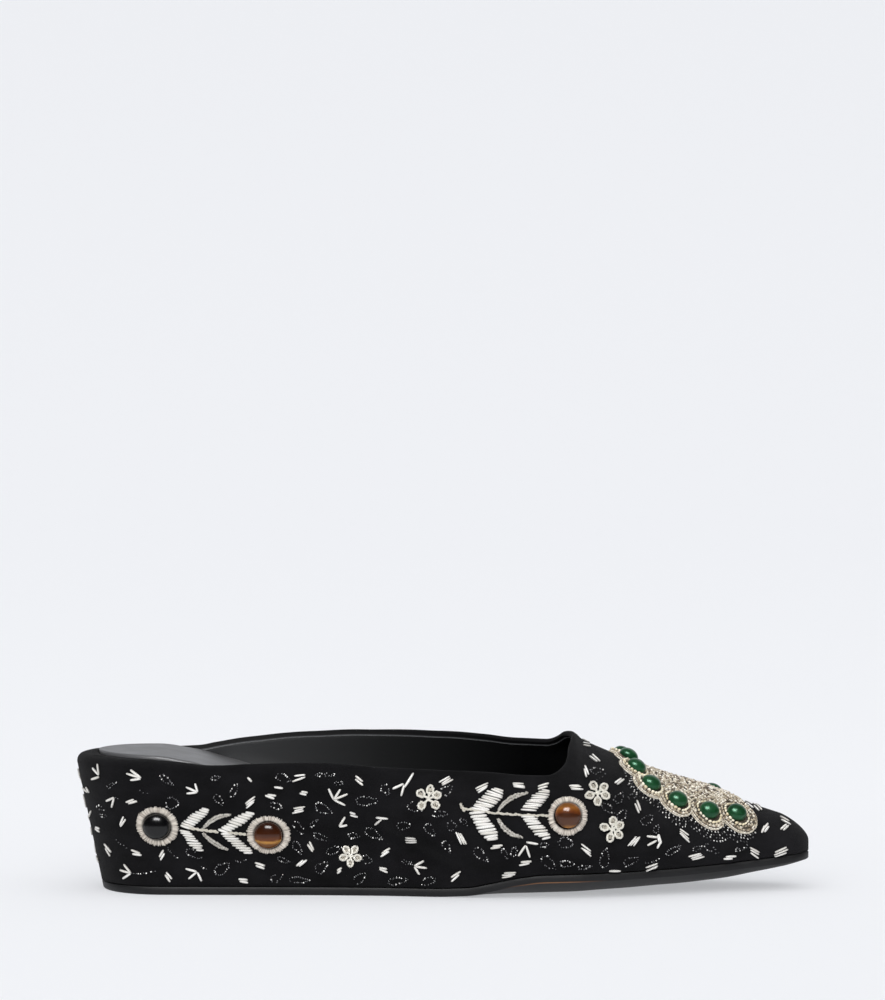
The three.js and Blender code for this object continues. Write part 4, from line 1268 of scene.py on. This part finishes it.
def domeStone(centre, facing, halves, height):  # a polished dome with a low girdle and a flat back
    level = unit(np.cross([0, 0, 1.0], facing)) if abs(facing[2]) < 0.98 else np.array([1.0, 0, 0])
    upward = np.cross(facing, level)
    turn = np.linspace(0, 2 * math.pi, stoneSize["turns"], endpoint=False)
    rings = [(0.0, 0.0), (0.96, 0.0), (1.0, 0.15)]  # share of the half width, height
    girdle = stoneSize["girdle"]
    for i in range(stoneSize["rings"]):
        angle = math.pi / 2 * i / stoneSize["rings"]
        rings.append((math.cos(angle), girdle + (height - girdle) * math.sin(angle)))
    rings.append((0.0, height))
    ring = np.array(rings)
    flat = np.cos(turn)[:, None] * level * halves[0] + np.sin(turn)[:, None] * upward * halves[1]
    points = centre + ring[:, 0][:, None, None] * flat[None] + ring[:, 1][:, None, None] * facing
    # height share on the stone, 0 at the bottom and 1 at the top; the amber finish paints its band and its
    # glow by it
    band = 0.5 + 0.5 * ring[:, 0][:, None] * np.sin(turn)[None]
    return points.reshape(-1, 3), band.ravel(), len(rings)


def makeStones(name, material, slot, seats, replaced):
    points, faces, glowAndBandHeights, honeys = [], [], [], []
    for centre, facing, halves, height, honey in seats:
        dome, band, rings = domeStone(centre, facing, halves, height)
        start = sum(len(p) for p in points)
        faces.append(sheetFaces(rings, stoneSize["turns"], start, flipped=True, closed=True))
        points.append(dome)
        glowAndBandHeights.append(band)
        honeys.append(np.full(len(band), honey))
    piece = makeMesh(name, toFrame(np.vstack(points)), np.vstack(faces), [material],
                     fields={"band": np.concatenate(glowAndBandHeights), "honey": np.concatenate(honeys)})
    return ridePiece(piece, slot, *replaced)


def wallSeat(side, x, height, lift):
    rise = float(riseAt(side, x, height))
    return wallPoint(side, x, rise, -lift), wallNormal(side, x, rise)


def makeAllStones():
    size = stoneSize
    greens = []
    for angle, distance, _ in lobes:
        lift = plaqueSize["seat"] + plaqueSize["bedThickness"] + size["greenLift"]
        spot, facing = polarOnVamp(np.array([angle]), np.array([distance]), lift)
        greens.append((spot[0], facing[0], (size["greenRadius"],) * 2, size["greenHeight"], 0.0))
    makeStones("green_stones", greenFinish(), "green_stone", greens,
               [f"green_stone_{i + 1}" for i in range(len(lobes))])
    sideKinds = [("onyx_stones", onyxFinish(), "onyx", ("heel_onyx",)),
                 ("amber_stones", amberFinish(), "amber", ("wedge_amber", "vamp_amber"))]
    for name, material, slot, kinds in sideKinds:
        seats, replaced = [], []
        for side, sideName in ((outer, "outer"), (inner, "inner")):
            for kind, x, height, halves, _ in sideStones:
                if kind in kinds:
                    seat = wallSeat(side, x, height, size["sideLift"])
                    honey = 1.0 if kind == "vamp_amber" else 0.0
                    seats.append((*seat, halves, size["sideHeight"], honey))
                    replaced.append(f"{kind}_{sideName}")
        makeStones(name, material, slot, seats, replaced)


makeAllStones()
print("stones made")

# Embroidery, charted one by one: places are photo pixels on the outer side, and the inner side mirrors them

stitchSize = dict(
    width=0.95, height=0.8, lift=0.26, shades=(0.55, 1.0), strand=0.92, apart=0.8, slip=(0.08, 0.26),
    strandShades=(0.4, 1.0), strandLean=8.0, strandLong=(0.76, 1.0), threeFrom=13.0, threeFine=0.84,
)
pairChart = [  # across, down, lean in degrees, length
    (87, 790, -50, 8), (132, 801.5, 24, 11), (123, 822, 62, 11), (98, 829, -35, 6),
    (108.5, 850, -53, 12), (137, 853, -18, 11), (162.5, 855, 62, 11), (169, 877, -55, 12),
    (250.5, 802.5, 38, 13), (244, 880.5, -12, 12), (260.5, 865.5, -22, 11), (271, 796, -15, 12),
    (299, 777.5, 12, 14), (304, 793, -10, 8), (299, 810, 12, 13), (353.5, 814.5, -18, 9),
    (311, 847, -57, 12), (301.5, 863, 48, 11), (339.5, 870.5, 30, 7), (359.5, 780.5, -40, 12),
    (411, 840, -6, 14), (385.5, 852.5, 33, 12), (383.5, 869.5, -15, 10), (446, 781, 27, 14),
    (461, 835.5, -60, 14), (455.5, 876.5, 40, 12), (482, 788, 30, 15), (518.5, 785.5, -10, 13),
    (543, 786.5, 18, 12), (575.5, 788.5, -4, 13), (496.5, 846.5, 12, 12), (525, 863, 8, 12),
    (508.5, 874.5, 2, 14), (586.5, 745, -5, 8), (594.5, 759, -36, 12), (585.5, 772, -70, 12),
    (619, 782, 36, 10), (637.5, 807, -76, 12), (634, 841.5, 47, 14), (684, 835, -42, 15),
    (651.5, 867.5, 25, 14), (586, 848.5, -35, 16), (696, 856.5, 12, 14), (729, 857.5, 0, 12),
    (754, 852, -35, 13), (85.5, 805, -70, 9), (89.5, 814, 75, 7), (780, 852, 25, 16),
    (765.5, 828, 60, 10), (784, 828, 35, 9), (784.5, 821, -25, 12), (757, 808.5, -45, 9),
]
singleChart = [  # across, down, lean in degrees, length
    (250, 779.5, -50, 6), (279, 787.5, -8, 9), (614.5, 871, 0, 12), (749, 806, -38, 9),
    (409, 780, 58, 17), (402.5, 790, 75, 12), (398, 787, 25, 13), (382, 818, -5, 13),
    (378.5, 822, 40, 10), (652, 837, -6, 12), (651.5, 843, 27, 11), (659.5, 839, -75, 10),
    (657.8, 838.5, -78, 8), (658.4, 844.6, 62, 9), (762.5, 829.5, 62, 8),
]
sprigChart = [  # across and down of the joint, then lean and length of each stitch
    (100, 777, [(130, 10), (97, 12), (195, 8)]), (115, 797.5, [(202, 9), (255, 11)]),
    (142, 779, [(143, 14), (162, 16), (185, 12)]), (198.5, 792.5, [(155, 14), (110, 10), (184, 12)]),
    (131.5, 873.5, [(127, 12), (163, 12), (212, 10)]), (197.5, 871.5, [(165, 12), (222, 12), (297, 11)]),
    (333.5, 799.5, [(112, 12), (57, 14), (22, 16), (-25, 14)]), (339, 827, [(57, 12), (12, 9)]),
    (414.5, 866.5, [(30, 11), (-8, 13), (-55, 10)]), (525.5, 842, [(-10, 13), (238, 14), (-73, 14)]),
]
flowerChart = [  # across and down of the heart, reach of the petals, then the lean of each
    (428.5, 799, 10.5, (80, 23, -41, 225, 145)), (351, 855.5, 8.6, (126, 57, -17, -93, 194)),
    (597, 793.5, 9.5, (121, 42, -18, -90, 196)), (611.5, 829.5, 9.5, (84, 28, -39, 256, 164)),
]
seedChart = [  # across, down, lean, length, width of each drop of seed beads
    (167, 780, -38, 17, 5), (146, 792, -10, 10, 2), (173, 803, 0, 13, 11), (219, 800, -50, 13, 5),
    (234.5, 790, 65, 14, 6), (194.5, 854, -25, 17, 6), (223, 868.5, 35, 17, 9), (241, 860.5, 8, 11, 2),
    (101, 808, -30, 8, 3), (104, 816, -5, 7, 3), (120, 799, -25, 9, 2), (122, 844, -35, 12, 1),
    (144, 872.5, 2, 24, 2), (206, 868, -20, 9, 1), (173, 853, -50, 15, 2), (284, 778, -20, 15, 7),
    (326, 775, 0, 20, 3), (277, 806, -20, 13, 5), (324, 809, -27, 18, 8), (299, 828, -52, 15, 6),
    (314, 823, 40, 10, 4), (321, 837, -20, 15, 5), (298, 848, -55, 15, 6), (284, 860, -20, 13, 4),
    (277, 878, 25, 12, 7), (300, 880, -3, 20, 5), (322, 867, 40, 14, 9), (367, 801, 0, 21, 8),
    (334, 850, 20, 15, 7), (374, 834, -33, 19, 7), (404, 826, 0, 13, 7), (415, 808, -30, 14, 8),
    (386, 790, -60, 12, 7), (354, 836, -5, 11, 4), (367, 860, -20, 10, 8), (360, 878, 40, 13, 8),
    (398, 881, 8, 20, 6), (408, 863, -15, 11, 3), (430, 830, -50, 15, 6), (447, 847, -60, 13, 6),
    (440, 814, 0, 14, 5), (447, 790, 30, 11, 8), (452, 826, 0, 9, 8), (429, 881, 20, 14, 7),
    (481, 855, -45, 18, 8), (505, 854, -60, 12, 4), (514, 851, 70, 10, 5), (549, 863, -42, 17, 8),
    (567, 864, 0, 14, 6), (566, 843, -5, 15, 10), (544, 845, 10, 8, 5), (597, 771, 0, 14, 5),
    (599, 778, 35, 13, 1), (619, 798, 55, 12, 7), (622, 815, 60, 13, 7), (608, 809, -35, 14, 7),
    (647, 820, 35, 14, 7), (604.5, 858, 80, 20, 8), (631, 861, 25, 16, 6), (673.5, 850, 30, 17, 5),
    (656, 829, 70, 8, 5), (652, 861, 15, 14, 2), (585, 867, 10, 14, 3), (711, 849, -30, 15, 5),
    (697, 848, 20, 9, 4), (740, 849, 10, 12, 3), (464, 822, -40, 9, 4), (340, 783, 0, 10, 3),
    (216, 778, 10, 10, 3), (112, 785, 30, 9, 3), (632, 797, 0, 8, 4),
]
seedSize = dict(
    bead=0.58, pitch=0.78, lift=0.2, stray=0.34, missing=0.08, taper=0.45,  # stray in pixels
    leastRing=2.5, leastBeads=4, shades=(0.1, 0.35, 0.6, 0.95), shadeShares=(0.2, 0.25, 0.3, 0.25),
)


def pixelAxes(lean):  # along and across a lean on the photo
    turn = math.radians(lean)
    return np.array([math.cos(turn), -math.sin(turn)]), np.array([math.sin(turn), math.cos(turn)])


def acrossPixels(px, py, lean, length):  # both ends of a stitch on the photo
    half = pixelAxes(lean)[0] * length / 2
    return np.array([[px, py] - half, [px, py] + half])


def layStitch(setting, side, ends, width, height, lift, shade):
    a, b = (wallPoint(side, *spot, -lift) for spot in ends)
    middle = (ends[0] + ends[1]) / 2
    facing = wallNormal(side, *middle)
    centre = wallPoint(side, *middle, -lift)
    setting.add(centre, facing, b - a, [np.linalg.norm(b - a), width, height], shade)


heelSize = dict(radius=28.0, outerFrom=0.35, innerFrom=4.5)  # nearer the back than these its own chart holds
heelChart = [  # round the heel's back from its middle, height, lean in degrees, length
    (-3.4, 41.0, 35, 4.2), (3.2, 37.5, -60, 4.4), (9.6, 41.5, 20, 4.2), (14.6, 35.5, -35, 4.2),
    (-2.2, 31.0, 75, 4.4), (7.4, 30.0, 30, 4.2), (13.0, 26.0, 65, 4.0), (2.8, 24.0, -45, 4.4),
    (-4.8, 20.5, -50, 4.2), (8.6, 18.5, -15, 4.4), (15.0, 16.0, 50, 4.2), (2.2, 13.5, 65, 4.2),
    (-5.6, 10.5, 15, 4.2), (6.8, 9.0, -45, 4.2), (12.6, 7.5, 25, 4.2),
]


def heelSpot(side, away, height):
    x = lastSize["heelRound"] * (1 - math.cos(away / heelSize["radius"]))
    return np.array([x, float(riseAt(side, x, height))])


def layHeelStitches(stitches, rng):
    size = stitchSize
    for away, height, lean, length in heelChart:
        side = inner if away > 0 else outer
        ahead, sideways = pixelAxes(-lean)  # heights run upward
        slide = rng.uniform(*size["slip"]) * length
        for way in (-0.5, 0.5):
            middle = np.array([away, height]) + way * (sideways * size["apart"] + ahead * slide)
            ends = [heelSpot(side, *(middle + ahead * length * end)) for end in (-0.45, 0.45)]
            shade = rng.uniform(*size["strandShades"])
            layStitch(stitches, side, ends, size["strand"], size["height"], size["lift"], shade)


def chartStitches(rng):
    size, rows = stitchSize, []  # each row has both ends, the width and the shade
    for px, py, lean, length in pairChart:
        ahead, sideways = pixelAxes(lean)
        three = length >= size["threeFrom"]
        ways, fine = ((-1, 0, 1), size["threeFine"]) if three else ((-0.5, 0.5), 1.0)
        slide = rng.uniform(*size["slip"]) * rng.choice([-1, 1]) * length * (0.5 if three else 1.0)
        apart = size["apart"] * fine / photoView["mmPerPixel"]
        for way in ways:
            middle = np.array([px, py]) + way * (sideways * apart + ahead * slide)
            turned = lean + rng.uniform(-size["strandLean"], size["strandLean"])
            ends = acrossPixels(*middle, turned, length * rng.uniform(*size["strandLong"]))
            rows.append((ends, size["strand"] * fine, rng.uniform(*size["strandShades"])))
    for row in singleChart:
        rows.append((acrossPixels(*row), size["width"], rng.uniform(*size["shades"])))
    for px, py, strokes in sprigChart:
        for lean, length in strokes:
            middle = np.array([px, py]) + pixelAxes(lean)[0] * length / 2
            ends = acrossPixels(*middle, lean, length)
            rows.append((ends, size["width"], rng.uniform(*size["shades"])))
    return rows


def sewSeeds(seeds, rng):  # a drop is a ring of seed beads, a thin one a single row
    size = seedSize
    turn = np.linspace(0, 2 * math.pi, 60, endpoint=False)
    for px, py, lean, length, width in seedChart:
        ahead, sideways = pixelAxes(lean)
        along = np.cos(turn) * length / 2
        across = np.sin(turn) * width / 2 * (1 - size["taper"] * np.cos(turn))
        drop = [px, py] + along[:, None] * ahead + across[:, None] * sideways
        run = runAlong(drop) * photoView["mmPerPixel"]
        part = 1.0 if width > size["leastRing"] else 0.5
        count = max(size["leastBeads"], int(run[-1] / size["pitch"] * part))
        goals = np.linspace(0, run[-1] * part, count, endpoint=part < 1)
        goals = goals[rng.uniform(0, 1, count) > size["missing"]]
        places = np.stack([np.interp(goals, run, drop[:, k]) for k in (0, 1)], 1)
        spots = spotsAt(places + rng.normal(0, size["stray"], places.shape))
        shades = rng.choice(size["shades"], len(goals), p=size["shadeShares"])
        for side in (outer, inner):
            points = wallPoint(side, *spots.T, -size["lift"])
            seeds.add(points, wallNormal(side, *spots.T), [1.0, 0, 0], size["bead"], shades)


def makeStitches():
    rng = np.random.default_rng(23)
    stitches, seeds = Setting(), Setting()
    for pixels, width, shade in chartStitches(rng):
        ends = spotsAt(pixels)
        for side, start in ((outer, heelSize["outerFrom"]), (inner, heelSize["innerFrom"])):
            if ends[:, 0].min() > start:
                layStitch(stitches, side, ends, width, stitchSize["height"], stitchSize["lift"], shade)
    layHeelStitches(stitches, np.random.default_rng(29))
    sewSeeds(seeds, rng)
    sewn = stitches.build("metal_stitches", stitchShape, finishes["metalThread"], 0.05, 7)
    ridePiece(sewn, "stitched_ring")
    ridePiece(seeds.build("seed_beads", beadShape, finishes["seedBead"], 0.28, 9), "beadwork")


makeStitches()

# Leaves of satin stitch, their stems and the stitched rings about the side stones

leafSize = dict(
    fill=1.14, height=1.15, lift=0.34, ragged=0.5, belly=0.6, trim=0.2, shades=(0.45, 0.95),
    thinWide=0.42, thinPitch=0.5, thinEnd=0.3, thinHalf=1 / 0.72, thinStitch=(0.8, 0.7, 0.25),
    thinSlant=(0.75, 0.66), thinTurn=(0.4, math.pi - 0.25), thinTaper=0.8, thinShades=(0.0, 0.3),
    stemThick=1.05, stemLift=0.35, stemTwist=3.2, strandOut=0.26, strandThick=0.6, stemShade=0.6,
)
satinChart = [  # first stitch from and to, last stitch from and to, number of stitches
    ((180.5, 825), (192, 829), (200, 807.5), (212, 811), 10),
    ((180, 830), (191, 832), (193.5, 850), (207, 850), 9),
    ((219, 829.5), (229, 833), (243.5, 811.5), (257.5, 815), 10),
    ((221, 834), (233, 834), (241.5, 852.5), (256.5, 853), 9),
    ((471, 807.5), (488.5, 811.5), (490, 787), (507.5, 793.5), 11),
    ((469, 813.5), (485, 812.5), (483, 840), (501.5, 837.5), 10),
    ((520, 809.5), (537, 810.5), (537.5, 790), (553, 791.5), 11),
    ((521, 817), (535, 817), (538, 839), (553, 837), 10),
]
thinChart = [  # the curve of each thin leaf: root, middle, tip
    ((203, 829), (213.6, 819.6), (231.7, 814.3)), ((203, 833), (213.6, 842), (228.6, 850)),
    ((497.5, 811), (509.3, 799.6), (528, 793)), ((497.5, 818.5), (508, 831.5), (523.3, 838)),
]
stemChart = [  # the course of each stem
    ((190, 828), (203, 830), (219, 832)), ((228, 833), (246, 834)),
    ((462, 808), (470, 809.5), (486, 812), (549, 816)), ((460.5, 804.5), (464, 811)),
]
ringSize = dict(
    stitches=150, width=0.42, height=1.3, lift=0.35, lean=0.014, startStray=(0, 0.1), endStray=(-0.3, 0.25),
    shades=(0.2, 1.0),
)
petalSize = dict(
    length=3.6, width=3.05, cord=0.86, fullReach=9.5, setIn=1.3,  # reach and set-in in pixels
    stalkShort=4.0, stalkThick=0.85, stalkLift=0.5, stalkShade=0.95,
)
petalRounds = [(1.0, 0.5, 0.86, 0.88), (0.36, 0.3, 0.6, 0.38)]  # share of the petal, lift, thickness, shade; the inner round's low shade is painted shade in the petal's hollow


def smoothPath(pixels, count):  # a smooth curve through a few charted points
    pixels = np.array(pixels, float)
    if len(pixels) == 2:
        return pixels[0] + (pixels[1] - pixels[0]) * np.linspace(0, 1, count)[:, None]
    knots = runAlong(pixels)
    goals = np.linspace(0, knots[-1], count)
    slopes = np.gradient(pixels, knots, axis=0)
    i = np.clip(np.searchsorted(knots, goals) - 1, 0, len(knots) - 2)
    wide = (knots[i + 1] - knots[i])[:, None]
    t = ((goals - knots[i])[:, None]) / wide
    start = pixels[i] + t * wide * slopes[i]
    end = pixels[i + 1] - (1 - t) * wide * slopes[i + 1]
    return start + (end - start) * eased(t)


def twisted(path, facings):  # the two strands of a stem along a path
    across = unit(np.cross(facings, unit(np.gradient(path, axis=0))))
    phase = 2 * math.pi * runAlong(path)[:, None] / leafSize["stemTwist"]
    out = leafSize["stemThick"] * leafSize["strandOut"]
    swings = [np.cos(phase + start) * across + np.sin(phase + start) * facings for start in (0, math.pi)]
    return [path + swing * out for swing in swings]


def layLeaves(leaves, rng):  # satin stitches side by side
    size = leafSize
    for *corners, count in satinChart:
        firstFrom, firstTo, lastFrom, lastTo = np.array(corners, float)
        spine, cross = lastFrom - firstFrom, firstTo - firstFrom
        stride = abs(spine[0] * cross[1] - spine[1] * cross[0]) / np.linalg.norm(cross) / (count - 1)
        width = size["fill"] * stride * photoView["mmPerPixel"]
        for share in np.linspace(0, 1, count):
            belly = np.array([math.sin(math.pi * share) * size["belly"], 0])
            a = firstFrom + spine * share - belly
            b = firstTo + (lastTo - firstTo) * share + belly
            trim = (b - a) * size["trim"] * max(0.0, 1 - 4 * (1 - share))  # the last stitches are shorter
            ragged = rng.uniform(-size["ragged"], size["ragged"], (2, 1)) * unit(b - a)
            ends = spotsAt(np.array([a + trim, b - trim]) + ragged)
            shade = rng.uniform(*size["shades"])
            for side in (outer, inner):
                layStitch(leaves, side, ends, width, size["height"], size["lift"], shade)


def layThinLeaves(leaves, rng):  # a plait of short slanting stitches, two rows wide
    size = leafSize
    for route in thinChart:
        line = smoothPath(route, 60)
        run = runAlong(line) * photoView["mmPerPixel"]
        count = int(run[-1] / size["thinPitch"])
        goals = np.linspace(size["thinEnd"], run[-1] - size["thinEnd"], count)
        spots = np.stack([np.interp(goals, run, line[:, k]) for k in (0, 1)], 1)
        ahead = unit(np.gradient(spots, axis=0))
        sideways = np.stack([-ahead[:, 1], ahead[:, 0]], 1)
        taper = np.sin(np.linspace(*size["thinTurn"], count))[:, None] ** size["thinTaper"]
        for way in (-1, 1):
            middle = spots + way * sideways * (size["thinWide"] * taper / photoView["mmPerPixel"])
            slant = ahead * size["thinSlant"][0] + way * sideways * size["thinSlant"][1]
            half = slant * (size["thinHalf"] * taper)
            for pixels in zip(middle - half, middle + half):
                ends, shade = spotsAt(pixels), rng.uniform(*size["thinShades"])
                for side in (outer, inner):
                    layStitch(leaves, side, ends, *size["thinStitch"], shade)


def layStems(cords):
    size = leafSize
    for route in stemChart:
        spots = spotsAt(smoothPath(route, 30))
        for side in (outer, inner):
            path = wallPoint(side, *spots.T, -size["stemThick"] * size["stemLift"])
            for strand in twisted(path, wallNormal(side, *spots.T)):
                cords.add(strand, size["stemThick"] * size["strandThick"], shade=size["stemShade"])


def layRings(satin, rng):  # stitches that run outward from each side stone
    size = ringSize
    for side in (outer, inner):
        for _, x, height, stone, ring in sideStones:
            for angle in np.linspace(0, 2 * math.pi, size["stitches"], endpoint=False):
                lean = angle + rng.uniform(-size["lean"], size["lean"])
                stray = [[rng.uniform(*size["startStray"])], [rng.uniform(*size["endStray"])]]
                reach = np.array([stone, ring]) + stray
                spotX = x + reach[:, 0] * math.cos(lean)
                rise = riseAlong(side, spotX, riseAt(side, spotX, height), reach[:, 1] * math.sin(lean))
                ends, shade = np.stack([spotX, rise], 1), rng.uniform(*size["shades"])
                layStitch(satin, side, ends, size["width"], size["height"], size["lift"], shade)


def makeLeaves():
    rng = np.random.default_rng(31)
    satin, leaves, cords = Setting(), Setting(), Cords()
    layLeaves(leaves, rng)
    layThinLeaves(leaves, rng)
    layStems(cords)
    layRings(satin, rng)
    rings = [f"{kind}_ring_{name}" for name in ("outer", "inner") for kind, *_ in sideStones]
    sewn = satin.build("ring_stitches", stitchShape, finishes["ringThread"], 0.04, 13)
    ridePiece(sewn, "stitched_ring", *rings)
    ridePiece(leaves.build("leaf_stitches", stitchShape, finishes["metalThread"], 0.04, 17), "stitched_ring")
    ridePiece(cords.build("leaf_cords", finishes["metalCord"], 8), "stitched_ring")


def makeFlowers():
    size, cords = petalSize, Cords()
    loop = np.linspace(0, 2 * math.pi, 26, endpoint=False)[:, None]
    for px, py, reach, leans in flowerChart:
        heart, grown = np.array([px, py]), min(1, reach / size["fullReach"])
        halfLong, halfWide = ((size[label] * grown - size["cord"]) / 2 / photoView["mmPerPixel"]
                              for label in ("length", "width"))
        for lean in leans:
            ahead, sideways = pixelAxes(lean)
            middle = heart + ahead * (reach - size["setIn"])
            petal = np.cos(loop) * ahead * halfLong + np.sin(loop) * sideways * halfWide
            stalk = spotsAt(smoothPath([heart, heart + ahead * (reach - size["stalkShort"])], 8))
            for share, lift, thick, shade in petalRounds:
                spots = spotsAt(middle + petal * share)
                for side in (outer, inner):
                    cords.add(wallPoint(side, *spots.T, -lift), thick, closed=True, shade=shade)
            for side in (outer, inner):
                path = wallPoint(side, *stalk.T, -size["stalkLift"])
                cords.add(path, size["stalkThick"], shade=size["stalkShade"])
    ridePiece(cords.build("flower_cords", finishes["metalCord"], 7), "stitched_ring")


makeLeaves()
makeFlowers()
for shape in (beadShape, stitchShape):
    bpy.data.objects.remove(shape)
print("embroidery made")

# Stage and light

stageSize = dict(width=8.0, front=-4.0, back=2.2, bend=1.2, height=5.0, steps=24)
lightPlan = dict(
    world=(0.866, 0.878, 0.906), worldStrength=0.51,
    floorColour=(0.505, 0.51, 0.522), floorGlow=(0.418, 0.482), glowReach=(-0.4, 0.3),
    sunStrength=1.15, sunAngle=100.0, sunTilt=(16.0, -6.0),
    fillPower=21.0, fillSize=(2.0, 1.2), fillPlace=(-0.3, -2.2, 1.0),
    keyPower=34.0, keySize=(0.9, 0.6), keyDistance=1.5, keyElevation=60.0, keyAzimuth=-6.0,
)


def makeStage():
    size = stageSize
    turn = np.linspace(0, math.pi / 2, size["steps"])
    profile = [(size["front"], 0.0)] + [
        (size["back"] + size["bend"] * math.sin(t), size["bend"] * (1 - math.cos(t))) for t in turn]
    profile.append((size["back"] + size["bend"], size["height"]))
    points = [(x, y, z) for y, z in profile for x in (-size["width"] / 2, size["width"] / 2)]
    material, tree, shader = newFinish("paleFloor", lightPlan["floorColour"], 0.9, Specular_IOR_Level=0.0)
    shader.inputs["Emission Color"].default_value = (*lightPlan["world"], 1)  # lit, so shadows stay faint
    glow = pinRange(tree, objectAxis(tree, "Y"), *lightPlan["floorGlow"], *lightPlan["glowReach"])
    tree.links.new(glow, shader.inputs["Emission Strength"])
    floor = makeMesh("studioFloor", points, sheetFaces(len(profile), 2, flipped=True), [material])


def addLight(name, kind, energy, size=None):
    light = bpy.data.lights.new(name, kind)
    light.energy = energy
    if size:
        light.shape = "RECTANGLE"
        light.size, light.size_y = size
    return addObject(name, light)


def makeLights():
    plan = lightPlan
    world = bpy.data.worlds.new("studio")
    world.use_nodes = True
    ground = world.node_tree.nodes["Background"]
    ground.inputs["Color"].default_value = (*plan["world"], 1)
    ground.inputs["Strength"].default_value = plan["worldStrength"]
    world.cycles_visibility.glossy = False  # polished things mirror the sweep and the box only
    bpy.context.scene.world = world
    sky = addLight("softSky", "SUN", plan["sunStrength"])
    sky.data.angle = math.radians(plan["sunAngle"])
    sky.rotation_euler = (math.radians(plan["sunTilt"][0]), math.radians(plan["sunTilt"][1]), 0)
    sky.visible_glossy = False
    front = addLight("frontFill", "AREA", plan["fillPower"], plan["fillSize"])
    front.location = plan["fillPlace"]
    across, away, above = plan["fillPlace"]
    front.rotation_euler = (math.atan2(-away, above), 0, math.atan2(across, -away))
    front.visible_glossy = False
    box = addLight("keyBox", "AREA", plan["keyPower"], plan["keySize"])
    up, swing = math.radians(plan["keyElevation"]), math.radians(plan["keyAzimuth"])
    flat, height = plan["keyDistance"] * math.cos(up), plan["keyDistance"] * math.sin(up)
    box.location = (flat * math.sin(swing), -flat * math.cos(swing), height)
    box.rotation_euler = (math.pi / 2 - up, 0, swing)
    box.visible_diffuse = False  # the box only draws highlights


makeStage()
makeLights()
bpy.context.scene.view_settings.view_transform = "Standard"
print("stage and light set")
